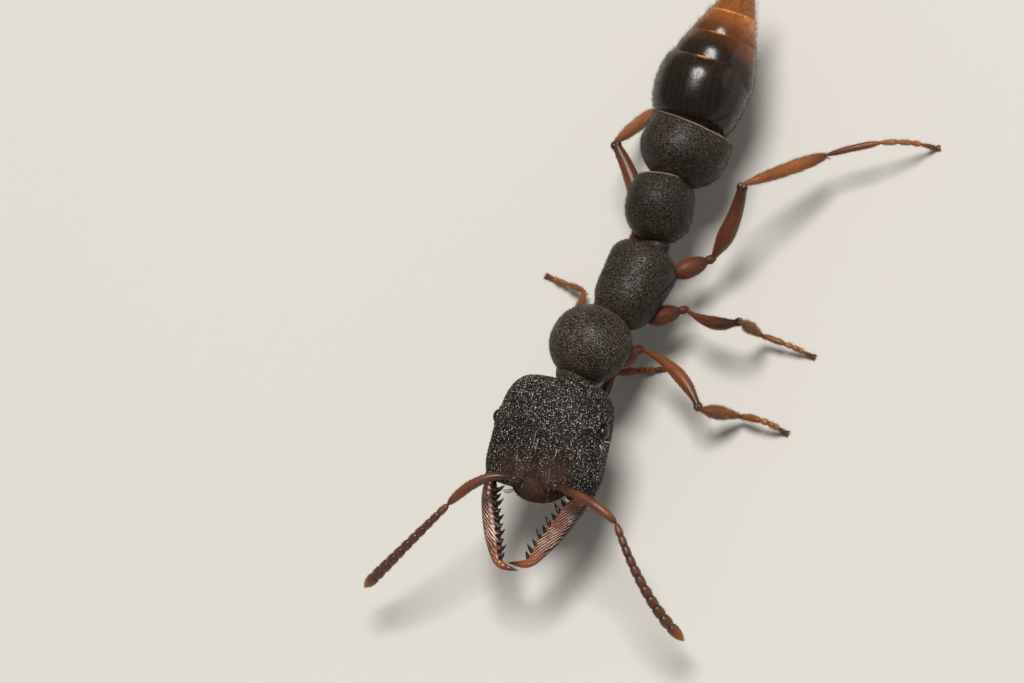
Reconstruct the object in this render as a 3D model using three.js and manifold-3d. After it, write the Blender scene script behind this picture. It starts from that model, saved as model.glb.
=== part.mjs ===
// A large Dracula ant, life size, standing still on its six feet.
// Millimetres, +Z up. The ant faces -Y, its left side is +X and its feet stand on z = 0.
// Run with the npm packages three and manifold-3d; the default export is the model.

import * as THREE from 'three';
import { mergeVertices } from 'three/addons/utils/BufferGeometryUtils.js';
import Module from 'manifold-3d';

const wasm = await Module();
wasm.setup();

// ---------------------------------------------------------------- driving dimensions

const BODY_HEIGHT = 1.35; // middle of the trunk above the floor
const SHRINK_GAP = 1.02; // a neighbour is enlarged by this much before it cuts its seat
const LIMB_THICKNESS = 0.48; // legs and feelers, through their middle
const LIMB_OVERRUN = 0.1; // a limb joint runs this far past its knots, into the joint before it
const TOE_HEIGHT = 0.05; // middle of the last tarsal joint above the floor

const HEAD_LENGTH = 1.58; // neck joint to the front corners
const HEAD_HALF_WIDTH = 0.86;
const HEAD_SETBACK = 0.03; // gap from the neck joint to the back of the head
const TRUNK_FRONT = -1.15; // neck, along the trunk from its middle
const TRUNK_REAR = 1.03; // waist, along the trunk from its middle
const PETIOLE_LENGTH = 0.91;
const FIRST_GASTER_LENGTH = 0.92;
const GASTER_LENGTH = 2.45; // second gaster ring to the tip

const MANDIBLE_HALF_WIDTH = 0.115;
const TOOTH_PAIRS = 8;
const BASAL_TOOTH_LENGTH = 0.17;
const APICAL_TOOTH_LENGTH = 0.1;
const TOOTH_RADIUS = 0.04;

const SCAPE_LENGTH = 1.1;
const FLAGELLUM_LENGTH = 1.88;
const FLAGELLUM_BEADS = 11;

// How each body section is turned: yaw swings its tail end to the ant's left, pitch drops its front.
const STANCE = {
  head: { yaw: -4.7, pitch: 4 },
  trunk: { yaw: 9, pitch: -6 },
  petiole: { yaw: -8, pitch: 5 },
  gaster_1: { yaw: 8, pitch: 3.5 },
  gaster_2: { yaw: 2, pitch: 2.5 },
};

// Each leg pair: where its coxa sits on the trunk, and the length of each of its joints.
const LEG_PAIRS = {
  front: { seat: [0.3, -0.6, -0.3], lengths: { coxa: 0.52, femur: 1.32, tibia: 0.72, tarsus: 0.7 } },
  mid: { seat: [0.33, 0.15, -0.38], lengths: { coxa: 0.58, femur: 1.05, tibia: 0.78, tarsus: 0.8 } },
  hind: { seat: [0.31, 0.9, -0.36], lengths: { coxa: 0.62, femur: 1.2, tibia: 1.38, tarsus: 1.6 } },
};

// Each leg's stance as [bearing, lift]: bearing 0 is straight ahead and 90 the ant's left,
// lift is above level. A tarsus has a bearing alone, as it slopes down until its toe meets the floor.
// bow is how far the middle of the femur stands off the straight line between its joints.
const LEG_STANCE = {
  front_left: { coxa: [161, -44], femur: [61, 0], tibia: [119, -52], tarsus: 87, bow: [0.06, 0.12, 0] },
  mid_left: { coxa: [132, -24], femur: [85, 18], tibia: [166, -81], tarsus: 86, bow: [0.03, -0.09, -0.04] },
  hind_left: { coxa: [137, -19], femur: [159, 35], tibia: [142, -30], tarsus: 116, bow: [0.1, 0.02, -0.04] },
  front_right: { coxa: [-153, -20], femur: [20, -24], tibia: [175, -12], tarsus: 116, bow: [-0.06, 0, 0] },
  mid_right: { coxa: [170, -35], femur: [-36, -7], tibia: [-164, -20], tarsus: -102, bow: [-0.05, 0, 0] },
  hind_right: { coxa: [-167, -8], femur: [-144, 16], tibia: [-177, -46], tarsus: 172, bow: [0.05, 0.03, 0] },
};

// Each feeler in the head's frame: its socket, its scape's bend and elbow, then the whip's sag and tip.
const FEELER_STANCE = {
  left: {
    socket: [0.36, -1.58, 0.3],
    bend: [1.1, -1.75, 0.52],
    elbow: [1.37, -1.96, 0.3],
    sag: [1.98, -2.96, 0.12],
    tip: [2.42, -3.22, -0.52],
  },
  right: {
    socket: [-0.26, -1.57, 0.3],
    bend: [-0.66, -1.55, 0.52],
    elbow: [-1.12, -2.08, 0.3],
    sag: [-1.75, -2.83, 0.1],
    tip: [-2.37, -3.26, -0.45],
  },
};

// Each mandible's middle line, as evenly spaced [outward, forward] knots from its hinge to its
// hooked tip, and how broad its blade is. The left one closes over the right.
const MANDIBLES = {
  right: {
    breadth: 1,
    knots: [[0.79, 1.48], [0.74, 1.79], [0.63, 2.09], [0.505, 2.39], [0.35, 2.67], [0.05, 2.73]],
  },
  left: {
    breadth: 1.2,
    knots: [[0.7, 1.5], [0.53, 1.77], [0.39, 2.05], [0.245, 2.33], [0.09, 2.61], [-0.2, 2.66]],
  },
};

// ---------------------------------------------------------------- finishes

const FINISH = {
  granular_black: { color: 0x17130f, roughness: 0.62, metalness: 0 },
  downy_black: { color: 0x1b1713, roughness: 0.55, metalness: 0 },
  gloss_black: { color: 0x120d0a, roughness: 0.22, metalness: 0 },
  amber_brown: { color: 0x6b2a0c, roughness: 0.3, metalness: 0 },
  mandible_red: { color: 0x5a2210, roughness: 0.3, metalness: 0 },
  antenna_brown: { color: 0x5e2a14, roughness: 0.45, metalness: 0 },
  leg_red: { color: 0x8a3a14, roughness: 0.4, metalness: 0 },
  coxa_brown: { color: 0x4a2418, roughness: 0.45, metalness: 0 },
  eye_black: { color: 0x050505, roughness: 0.1, metalness: 0 },
};

// ---------------------------------------------------------------- helpers

const DEG = Math.PI / 180;
const UP = new THREE.Vector3(0, 0, 1);
const RING_CROWDING = 0.55; // how far a loft's rings gather towards its two ends

/** A rotation for a body section: its pitch, then its yaw. */
function turned({ yaw, pitch }) {
  return new THREE.Euler(pitch * DEG, 0, -yaw * DEG, 'ZXY');
}

/** A unit direction from a bearing and a lift. */
function heading(bearing, lift) {
  const level = Math.cos(lift * DEG);
  const x = Math.sin(bearing * DEG) * level;
  const y = -Math.cos(bearing * DEG) * level;
  return new THREE.Vector3(x, y, Math.sin(lift * DEG));
}

/** A signed power, for sections and ends between a circle and a box. */
function bulge(value, squareness) {
  return Math.sign(value) * Math.abs(value) ** (2 / squareness);
}

/**
 * A closed skin along a path, with both ends rounded.
 * Each station is [distance along the path, half width, height above it, height below it].
 * ends holds the squareness of the first and the last end, 2 for round and more for blunt.
 */
function loft(path, stations, { sides = 12, rings = 10, ends = [3, 3], section = 2, up = UP } = {}) {
  const geometry = new THREE.SphereGeometry(1, sides, rings);
  const distances = stations.map((station) => station[0]);
  const sizes = stations.flatMap((station) => station.slice(1));
  const skin = new THREE.CubicInterpolant(distances, sizes, 3, new Float32Array(3));
  const length = distances.at(-1);
  const vertex = new THREE.Vector3();
  const across = new THREE.Vector3();
  const above = new THREE.Vector3();
  const { position } = geometry.attributes;
  for (let i = 0; i < position.count; i += 1) {
    vertex.fromBufferAttribute(position, i);
    const radius = Math.hypot(vertex.x, vertex.z) || 1;
    const polar = Math.acos(THREE.MathUtils.clamp(-vertex.y, -1, 1));
    const reach = THREE.MathUtils.lerp((2 * polar) / Math.PI - 1, -Math.cos(polar), RING_CROWDING);
    const end = ends[reach < 0 ? 0 : 1];
    const cap = Math.max(0, 1 - Math.abs(reach) ** end) ** (1 / end);
    const along = (reach + 1) / 2;
    const [halfWidth, top, bottom] = skin.evaluate(along * length);
    const tangent = path.getTangent(along);
    across.crossVectors(tangent, up).normalize();
    above.crossVectors(across, tangent).normalize();
    const x = cap * halfWidth * bulge(vertex.x / radius, section);
    const z = (top + bottom) / 2 + cap * ((top - bottom) / 2) * bulge(vertex.z / radius, section);
    vertex.copy(path.getPoint(along)).addScaledVector(across, x).addScaledVector(above, z);
    position.setXYZ(i, vertex.x, vertex.y, vertex.z);
  }
  return toSolid(geometry);
}

/** A straight path down the middle of a body section, from its front joint backwards. */
function backwards(length) {
  return new THREE.LineCurve3(new THREE.Vector3(), new THREE.Vector3(0, length, 0));
}

/** A closed geometry as a manifold solid. */
function toSolid(geometry) {
  geometry.deleteAttribute('normal');
  geometry.deleteAttribute('uv');
  const welded = mergeVertices(geometry);
  const vertProperties = new Float32Array(welded.attributes.position.array);
  const triVerts = new Uint32Array(welded.index.array);
  return new wasm.Manifold(new wasm.Mesh({ numProp: 3, vertProperties, triVerts }));
}

/** A manifold solid as a geometry. */
function toGeometry(solid) {
  const mesh = solid.getMesh();
  const geometry = new THREE.BufferGeometry();
  geometry.setAttribute('position', new THREE.BufferAttribute(mesh.vertProperties, 3));
  geometry.setIndex(new THREE.BufferAttribute(mesh.triVerts, 1));
  geometry.computeVertexNormals();
  return geometry;
}

/** An ellipsoid about a point. */
function pebble(centre, radii, sides = 10, rings = 6) {
  const geometry = new THREE.SphereGeometry(1, sides, rings);
  geometry.scale(...radii);
  geometry.translate(...centre);
  return toSolid(geometry);
}

/** A cone standing on a point and aimed along a direction. */
function spike(foot, direction, length, radius, sides = 4) {
  const geometry = new THREE.ConeGeometry(radius, length, sides);
  geometry.translate(0, length / 2, 0);
  const lean = new THREE.Quaternion().setFromUnitVectors(new THREE.Vector3(0, 1, 0), direction);
  geometry.applyQuaternion(lean);
  geometry.translate(foot.x, foot.y, foot.z);
  return toSolid(geometry);
}

/** A named sub-part in its parent's frame. */
function addPart(parent, name, solid, finish) {
  const mesh = new THREE.Mesh(toGeometry(solid), new THREE.MeshStandardMaterial(FINISH[finish]));
  mesh.name = name;
  mesh.userData.solid = solid;
  parent.add(mesh);
  return mesh;
}

/** The frame of a body section, hung on a joint of the section before it. */
function addSection(model, joint, stance) {
  const section = new THREE.Group();
  section.position.copy(joint);
  section.rotation.copy(turned(stance));
  model.add(section);
  section.updateMatrix();
  return section;
}

/** A point of a section's frame in the model's frame. */
function jointOf(section, x, y, z) {
  return new THREE.Vector3(x, y, z).applyMatrix4(section.matrix);
}

// ---------------------------------------------------------------- body sections

/** The boxy head capsule with its clypeus and the two lobes above the antennal sockets. */
function headCapsule() {
  const length = HEAD_LENGTH - HEAD_SETBACK;
  const capsule = loft(backwards(-length), [
    [0, 0.75, 0.44, -0.42],
    [0.43, 0.81, 0.5, -0.48],
    [0.95, HEAD_HALF_WIDTH, 0.48, -0.46],
    [1.33, HEAD_HALF_WIDTH, 0.38, -0.4],
    [length, 0.84, 0.28, -0.32],
  ], { sides: 20, rings: 14, ends: [4, 8], section: 2.5 }).translate([0, -HEAD_SETBACK, 0]);
  const clypeus = pebble([0, -1.44, 0], [0.46, 0.35, 0.16], 12, 8);
  const lobes = [-1, 1].map((side) => pebble([side * 0.23, -1.4, 0.26], [0.13, 0.24, 0.09]));
  const cornerTeeth = [-1, 1].map((side) => {
    const foot = new THREE.Vector3(side * 0.79, -HEAD_LENGTH + 0.1, 0);
    return spike(foot, heading(side * 25, 0), 0.15, 0.05, 6);
  });
  return [clypeus, ...lobes, ...cornerTeeth].reduce((whole, piece) => whole.add(piece), capsule);
}

/** A compound eye: a low dome on the side of the head. */
function eyeDome(side) {
  return pebble([side * 0.815, -0.7, 0.155], [0.07, 0.1, 0.085], 8, 6);
}

/** A long toothed mandible. side is 1 on the left. */
function mandible(side, { breadth, knots }) {
  const points = knots.map(([outward, forward]) => new THREE.Vector3(side * outward, -forward, -0.12));
  const path = new THREE.CatmullRomCurve3(points);
  const wide = breadth * MANDIBLE_HALF_WIDTH;
  const blade = loft(path, [
    [0, wide, 0.12, -0.14],
    [0.3, wide, 0.1, -0.12],
    [0.55, wide, 0.08, -0.1],
    [0.8, 0.65 * wide, 0.07, -0.08],
    [1, 0.05, 0.04, -0.04],
  ], { sides: 8, rings: 13, ends: [4, 3] });
  const teeth = [];
  for (let pair = 0; pair < TOOTH_PAIRS; pair += 1) {
    const share = pair / (TOOTH_PAIRS - 1);
    const along = THREE.MathUtils.lerp(0.17, 0.77, share);
    const foot = path.getPoint(along);
    const forward = path.getTangent(along);
    const inward = new THREE.Vector3().crossVectors(forward, UP).multiplyScalar(side);
    const reach = THREE.MathUtils.lerp(BASAL_TOOTH_LENGTH, APICAL_TOOTH_LENGTH, share);
    for (const row of [-1, 1]) {
      const aim = inward.clone().addScaledVector(forward, row * 0.12 - 0.4).setZ(row * 0.22).normalize();
      const root = foot.clone().addScaledVector(inward, wide * (0.7 - 0.35 * share));
      root.z += row * 0.04;
      teeth.push(spike(root, aim, reach, TOOTH_RADIUS));
    }
  }
  return teeth.reduce((whole, tooth) => whole.add(tooth), blade);
}

/** The domed front plate of the trunk, with its collar at the neck. */
function pronotum() {
  const length = 1.08;
  const shell = loft(backwards(length), [
    [0, 0.49, 0.3, -0.36],
    [0.28, 0.545, 0.4, -0.44],
    [0.55, 0.57, 0.45, -0.47],
    [0.85, 0.53, 0.42, -0.46],
    [length, 0.47, 0.36, -0.42],
  ], { sides: 18, rings: 11, ends: [2.8, 2.6], section: 2.1 });
  return shell.translate([-0.015, TRUNK_FRONT, 0]);
}

/** The neck plates under the collar, which carry the head. */
function neckPlates() {
  return pebble([0, TRUNK_FRONT + 0.12, -0.14], [0.34, 0.36, 0.27], 10, 6);
}

/** The rest of the trunk: a narrow front, and a box-like rear with a steep back face. */
function hindTrunk() {
  const length = 1.18;
  const start = new THREE.Vector3(0.08, -0.2, 0);
  const path = new THREE.LineCurve3(start, new THREE.Vector3(0.03, length - 0.2, 0));
  return loft(path, [
    [0, 0.4, 0.3, -0.4],
    [0.3, 0.435, 0.37, -0.48],
    [0.65, 0.45, 0.42, -0.5],
    [0.95, 0.48, 0.44, -0.48],
    [length, 0.46, 0.36, -0.42],
  ], { sides: 18, rings: 11, ends: [3, 5.5], section: 2.5 });
}

/** The petiole: a low stalk in front, then one rounded node as tall as the trunk. */
function petioleNode() {
  const node = loft(backwards(PETIOLE_LENGTH), [
    [0, 0.35, 0.3, -0.4],
    [0.25, 0.44, 0.44, -0.54],
    [0.5, 0.46, 0.5, -0.52],
    [0.73, 0.44, 0.46, -0.5],
    [PETIOLE_LENGTH, 0.38, 0.4, -0.46],
  ], { sides: 16, rings: 10, ends: [2.6, 5], section: 2.1 });
  const stalk = pebble([0.02, 0.08, -0.12], [0.2, 0.24, 0.16]);
  return node.translate([0.01, 0.12, 0]).add(stalk);
}

/** The first gaster ring, narrow where it meets the petiole. */
function firstGasterRing() {
  return loft(backwards(FIRST_GASTER_LENGTH), [
    [0, 0.42, 0.38, -0.46],
    [0.2, 0.54, 0.5, -0.6],
    [0.45, 0.605, 0.56, -0.67],
    [0.7, 0.61, 0.56, -0.67],
    [FIRST_GASTER_LENGTH, 0.585, 0.52, -0.63],
  ], { sides: 18, rings: 11, ends: [4, 10], section: 2 });
}

// The outline of the gaster behind its first ring, shared by the rings that telescope along it.
const GASTER_OUTLINE = [
  [0, 0.54, 0.5, -0.58],
  [0.25, 0.63, 0.58, -0.66],
  [0.6, 0.675, 0.64, -0.68],
  [1.0, 0.625, 0.59, -0.6],
  [1.4, 0.49, 0.49, -0.48],
  [1.8, 0.33, 0.34, -0.36],
  [2.15, 0.18, 0.19, -0.25],
  [GASTER_LENGTH, 0.07, 0.05, -0.16],
];

/** One of the later gaster rings, from one distance along the gaster to another. */
function gasterRing(from, to, fit, rings) {
  const distances = GASTER_OUTLINE.map((station) => station[0]);
  const sizes = GASTER_OUTLINE.flatMap((station) => station.slice(1));
  const outline = new THREE.CubicInterpolant(distances, sizes, 3, new Float32Array(3));
  const stations = [0, 0.25, 0.5, 0.75, 1].map((share) => {
    const at = THREE.MathUtils.lerp(from, to, share);
    return [at - from, ...Array.from(outline.evaluate(at), (size) => size * fit)];
  });
  return loft(backwards(to - from), stations, { sides: 18, rings, ends: [5, 5] }).translate([0, from, 0]);
}

// ---------------------------------------------------------------- feelers and legs

/** A limb joint between two knots, bowed off the straight line, with its thickness at three places. */
function limbJoint(start, end, { bow = [0, 0, 0], near, middle, far, rings, overrun = LIMB_OVERRUN }) {
  const lean = new THREE.Vector3().subVectors(end, start).normalize();
  const first = start.clone().addScaledVector(lean, -LIMB_OVERRUN);
  const last = end.clone().addScaledVector(lean, overrun);
  const bend = new THREE.Vector3().addVectors(first, last).multiplyScalar(0.5);
  bend.addScaledVector(new THREE.Vector3(...bow), 2);
  const path = new THREE.QuadraticBezierCurve3(first, bend, last);
  const length = first.distanceTo(last);
  const stations = [near, middle, far].map((share, i) => {
    const size = (share * LIMB_THICKNESS) / 2;
    return [(i * length) / 2, size, size, -size];
  });
  return loft(path, stations, { sides: 8, rings, ends: [3, 3] });
}

/** The first long joint of a feeler, bowed out from its socket to the elbow. */
function scape(socket, bend, elbow) {
  const radius = LIMB_THICKNESS / 2;
  const path = new THREE.QuadraticBezierCurve3(socket, bend, elbow);
  const stations = [0.85, 0.9, 1].map((share, i) => {
    const size = share * radius;
    return [(i * SCAPE_LENGTH) / 2, size, size, -size];
  });
  return loft(path, stations, { sides: 8, rings: 8, ends: [3, 3] });
}

/** The beaded whip of a feeler, from the elbow to its tip. */
function flagellum(elbow, bend, tip) {
  const radius = LIMB_THICKNESS / 2;
  const path = new THREE.QuadraticBezierCurve3(elbow, bend, tip);
  const stations = [];
  for (let half = 0; half <= FLAGELLUM_BEADS * 2; half += 1) {
    const waist = half % 2 === 0;
    const size = radius * (waist ? 0.86 : 1);
    stations.push([(half * FLAGELLUM_LENGTH) / (FLAGELLUM_BEADS * 2), size, size, -size]);
  }
  return loft(path, stations, { sides: 8, rings: FLAGELLUM_BEADS * 2, ends: [4, 3] });
}

/** A leg of four joints, from its seat on the trunk to the floor. */
function addLeg(model, trunk, pairName, sideName) {
  const { seat, lengths } = LEG_PAIRS[pairName];
  const stance = LEG_STANCE[`${pairName}_${sideName}`];
  const side = sideName === 'left' ? 1 : -1;
  const knots = [jointOf(trunk, side * seat[0], seat[1], seat[2])];
  for (const joint of ['coxa', 'femur', 'tibia']) {
    knots.push(heading(...stance[joint]).multiplyScalar(lengths[joint]).add(knots.at(-1)));
  }
  const drop = Math.asin((TOE_HEIGHT - knots.at(-1).z) / lengths.tarsus) / DEG;
  knots.push(heading(stance.tarsus, drop).multiplyScalar(lengths.tarsus).add(knots.at(-1)));
  const shapes = {
    coxa: { near: 1, middle: 1.1, far: 0.9, rings: 5, finish: 'coxa_brown' },
    femur: { near: 0.85, middle: 1.1, far: 0.95, bow: stance.bow, rings: 7, finish: 'leg_red' },
    tibia: { near: 0.85, middle: 1, far: 0.95, rings: 5, finish: 'leg_red' },
    tarsus: { near: 0.95, middle: 0.95, far: 0.9, rings: 5, overrun: 0, finish: 'leg_red' },
  };
  return Object.entries(shapes).map(([joint, shape], i) => {
    const solid = limbJoint(knots[i], knots[i + 1], shape);
    return addPart(model, `leg_${pairName}_${sideName}_${joint}`, solid, shape.finish);
  });
}

// ---------------------------------------------------------------- assembly

/** A part's solid in the model's frame. */
function placed(part) {
  part.updateWorldMatrix(true, false);
  return part.userData.solid.transform(part.matrixWorld.elements);
}

/** Puts a solid, given in the model's frame, back into its part. */
function reshape(part, solid) {
  const inverse = part.matrixWorld.clone().invert();
  part.userData.solid = solid.transform(inverse.elements);
  part.geometry = toGeometry(part.userData.solid);
}

/** A solid together with a slightly larger copy of itself, so that its seat has clearance. */
function withClearance(solid) {
  const { min, max } = solid.boundingBox();
  const middle = min.map((low, axis) => (low + max[axis]) / 2);
  const larger = solid.translate(middle.map((value) => -value)).scale(SHRINK_GAP).translate(middle);
  return solid.add(larger);
}

/** True where two bounding boxes meet. */
function boxesMeet(first, second) {
  const a = first.boundingBox();
  const b = second.boundingBox();
  return a.min.every((low, axis) => low < b.max[axis] && b.min[axis] < a.max[axis]);
}

/** Each part gives way to the parts listed before it, so that they meet and never overlap. */
function seatInTurn(parts) {
  const done = [];
  for (const part of parts) {
    let solid = placed(part);
    for (const earlier of done) {
      if (boxesMeet(solid, earlier)) {
        solid = solid.subtract(withClearance(earlier));
      }
    }
    const [body] = solid.decompose().sort((a, b) => b.volume() - a.volume());
    reshape(part, body);
    done.push(body);
  }
}

/** The parts whose undersides are cut level, so that the feet stand on small flats. */
function trimToFloor(parts) {
  const slab = new THREE.BoxGeometry(20, 20, 2);
  slab.translate(0, 0, -1);
  const ground = toSolid(slab);
  for (const part of parts) {
    reshape(part, placed(part).subtract(ground));
  }
}

const model = new THREE.Group();

const trunk = addSection(model, new THREE.Vector3(0, 0, BODY_HEIGHT), STANCE.trunk);
const head = addSection(model, jointOf(trunk, -0.018, TRUNK_FRONT - 0.085, 0), STANCE.head);
const waist = addSection(model, jointOf(trunk, -0.05, TRUNK_REAR, -0.1), STANCE.petiole);
const ring1 = addSection(model, jointOf(waist, 0.045, 0.94, 0.05), STANCE.gaster_1);
const ring2 = addSection(model, jointOf(ring1, -0.06, 0.87, 0), STANCE.gaster_2);

const body = [
  addPart(head, 'head', headCapsule(), 'granular_black'),
  addPart(trunk, 'pronotum', pronotum(), 'downy_black'),
  addPart(trunk, 'neck', neckPlates(), 'coxa_brown'),
  addPart(trunk, 'hind_trunk', hindTrunk(), 'downy_black'),
  addPart(waist, 'petiole', petioleNode(), 'downy_black'),
  addPart(ring1, 'gaster_1', firstGasterRing(), 'downy_black'),
  addPart(ring2, 'gaster_2', gasterRing(0, 1.1, 1, 10), 'gloss_black'),
  addPart(ring2, 'gaster_3', gasterRing(0.85, 1.52, 0.97, 6), 'gloss_black'),
  addPart(ring2, 'gaster_4', gasterRing(1.3, 1.9, 0.95, 5), 'amber_brown'),
];
const tip = gasterRing(1.65, GASTER_LENGTH, 0.93, 6);
const sting = spike(new THREE.Vector3(0, 2.3, -0.1), heading(180, -12), 0.34, 0.03);
body.push(addPart(ring2, 'gaster_tip', tip.add(sting), 'amber_brown'));

const jaws = [
  addPart(head, 'mandible_right', mandible(-1, MANDIBLES.right), 'mandible_red'),
  addPart(head, 'mandible_left', mandible(1, MANDIBLES.left), 'mandible_red'),
];
const eyes = [
  addPart(head, 'eye_left', eyeDome(1), 'eye_black'),
  addPart(head, 'eye_right', eyeDome(-1), 'eye_black'),
];

const feelers = [];
for (const [sideName, { socket, bend, elbow, sag, tip: end }] of Object.entries(FEELER_STANCE)) {
  const at = (point) => new THREE.Vector3(...point);
  feelers.push(addPart(head, `scape_${sideName}`, scape(at(socket), at(bend), at(elbow)), 'antenna_brown'));
  const whip = flagellum(at(elbow), at(sag), at(end));
  feelers.push(addPart(head, `flagellum_${sideName}`, whip, 'antenna_brown'));
}

const legs = [];
for (const sideName of ['left', 'right']) {
  for (const pairName of Object.keys(LEG_PAIRS)) {
    legs.push(...addLeg(model, trunk, pairName, sideName));
  }
}

trimToFloor(legs.filter((part) => part.name.endsWith('tarsus') || part.name.endsWith('tibia')));
seatInTurn([...body, ...jaws, ...eyes, ...legs, ...feelers]);

// The model stands with the middle of its base on the origin.
const box = new THREE.Box3().setFromObject(model, true);
const middle = box.getCenter(new THREE.Vector3());
model.position.set(-middle.x, -middle.y, 0);

export default model;
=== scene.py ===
# %% [markdown]
# # A large Dracula ant
#
# The ant is about nine millimetres long, so every size below is in millimetres and becomes metres
# only when a piece is finished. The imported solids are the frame. Their legs and
# feelers are made thick enough to handle, so here each one is drawn again at its true thickness on
# the same middle line, and each shell plate is drawn again with its grain, its rims and its hairs.

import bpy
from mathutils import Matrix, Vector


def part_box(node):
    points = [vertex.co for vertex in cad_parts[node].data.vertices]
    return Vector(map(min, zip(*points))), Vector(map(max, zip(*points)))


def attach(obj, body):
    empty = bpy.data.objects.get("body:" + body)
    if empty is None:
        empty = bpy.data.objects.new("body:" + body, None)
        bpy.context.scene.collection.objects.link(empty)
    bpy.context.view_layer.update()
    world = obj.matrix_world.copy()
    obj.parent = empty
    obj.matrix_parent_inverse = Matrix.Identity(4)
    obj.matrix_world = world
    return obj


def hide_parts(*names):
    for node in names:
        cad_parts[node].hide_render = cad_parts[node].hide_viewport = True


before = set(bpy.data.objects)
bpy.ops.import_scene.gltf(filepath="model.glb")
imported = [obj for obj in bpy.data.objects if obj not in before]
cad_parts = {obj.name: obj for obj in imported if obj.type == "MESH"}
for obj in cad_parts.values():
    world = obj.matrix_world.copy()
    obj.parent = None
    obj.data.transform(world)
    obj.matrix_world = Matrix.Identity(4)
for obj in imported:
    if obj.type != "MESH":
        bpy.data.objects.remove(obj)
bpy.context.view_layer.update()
print("frame nodes", len(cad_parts))

# %% Tools and units
import math

import bmesh
import bpy
import numpy as np
from mathutils import Matrix, Vector, kdtree, noise

MM = 0.001  # one millimetre in metres
UP = Vector((0, 0, 1))
chance = np.random.default_rng(11)  # one seeded source of chance for the whole script


def placed(name, data):
    """An object in the scene."""
    thing = bpy.data.objects.new(name, data)
    bpy.context.scene.collection.objects.link(thing)
    return thing


print("drawing in millimetres")

# %% [markdown]
# ## How the body is put together
#
# A real ant's body is a chain: head, trunk, petiole and gaster hang on one another by narrow
# joints. It could be laid out piece by piece, but a chain of frames keeps every plate, leg and
# hair in its own simple directions: y runs back along the section, x to the ant's left, z up.

# %% The pose of the body
BODY_HEIGHT = 1.35
TRUNK_FRONT = -1.15
TRUNK_REAR = 1.03


def turned(yaw, pitch):
    """A rotation: pitch drops the front of a section, then yaw swings its tail end to the left."""
    return Matrix.Rotation(-math.radians(yaw), 4, "Z") @ Matrix.Rotation(math.radians(pitch), 4, "X")


def hung(parent, joint, yaw, pitch):
    """A section's frame: the joint on the section before it, then its own yaw and pitch in degrees."""
    return Matrix.Translation(parent @ Vector(joint)) @ turned(yaw, pitch)


trunk = Matrix.Translation((0, 0, BODY_HEIGHT)) @ turned(9, -6)
head = hung(trunk, (-0.018, TRUNK_FRONT - 0.085, 0), -4.7, 4)
waist = hung(trunk, (-0.05, TRUNK_REAR, -0.1), -8, 5)
ring_1 = hung(waist, (0.045, 0.94, 0.05), 8, 3.5)
ring_2 = hung(ring_1, (-0.06, 0.87, 0), 2, 2.5)
print("the gaster hangs at", [round(v, 2) for v in ring_1.translation])

# %% [markdown]
# The chain starts over a spot on the floor that only the frame knows. The two eyes sit level with
# each other on the sides of the head, so the point half-way between them gives that spot.

# %% Where the chain stands
EYE_PLACE = (0.809, -0.7, 0.155)


def middle_of(node):
    """The middle of a solid's box, in millimetres."""
    low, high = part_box(node)
    return (low + high) / 2 / MM


between_eyes = (middle_of("eye_left") + middle_of("eye_right")) / 2
shift = between_eyes - head @ Vector((0, EYE_PLACE[1], EYE_PLACE[2]))
to_row = Matrix.Scale(MM, 4) @ Matrix.Translation((shift.x, shift.y, 0))
print("the trunk stands at", [round(v, 3) for v in shift])

# %% [markdown]
# ## The ball that every rounded part starts from
#
# Shell plates and leg joints are all rounded at both ends. A lathe would leave poles where the
# grain bunches up, so the large plates start as a cube cut into small squares and blown round,
# and only the slim limbs start as a ball with poles, laid along y. Blender numbers the vertices of
# such a ball differently on each run, and hairs are rooted by number, so they are put in order.

# %% Balls
def even_ball(cells):
    """A ball of nearly even squares."""
    bm = bmesh.new()
    bmesh.ops.create_cube(bm, size=2)
    bmesh.ops.subdivide_edges(bm, edges=bm.edges, cuts=cells - 1, use_grid_fill=True)
    for vert in bm.verts:
        vert.co = Vector([math.tan(c * math.pi / 4) for c in vert.co]).normalized()
    return bm


def settled(bm):
    """The same mesh with its vertices and faces in an order that never changes."""
    verts = sorted(bm.verts, key=lambda vert: [round(c, 4) for c in vert.co])
    number = {vert: index for index, vert in enumerate(verts)}
    faces = [[number[vert] for vert in face.verts] for face in bm.faces]
    carrier = bpy.data.meshes.new("carrier")
    carrier.from_pydata([tuple(vert.co) for vert in verts], [], sorted(faces, key=sorted))
    bm.clear()
    bm.from_mesh(carrier)
    bpy.data.meshes.remove(carrier)
    return bm


def slim_ball(sides, rings):
    """A ball with its poles on y."""
    bm = bmesh.new()
    bmesh.ops.create_uvsphere(bm, u_segments=sides, v_segments=rings, radius=1)
    bmesh.ops.rotate(bm, verts=bm.verts, matrix=Matrix.Rotation(math.pi / 2, 3, "X"))
    return settled(bm)


# %% [markdown]
# ## From a ball to a body
#
# Each part is described by a path and a few stations along it: distance, half width, height above
# the path and depth below it. The ball's vertices are moved onto that body. Each vertex also
# remembers three things for later: its place along and around the part, the way a hair would lie
# there, and a tint from dark to pale.

# %% Paths and stations
def straight(length, start=(0, 0, 0)):
    """A path straight back along a section."""
    return [Vector(start), Vector(start) + Vector((0, length, 0))]


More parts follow.
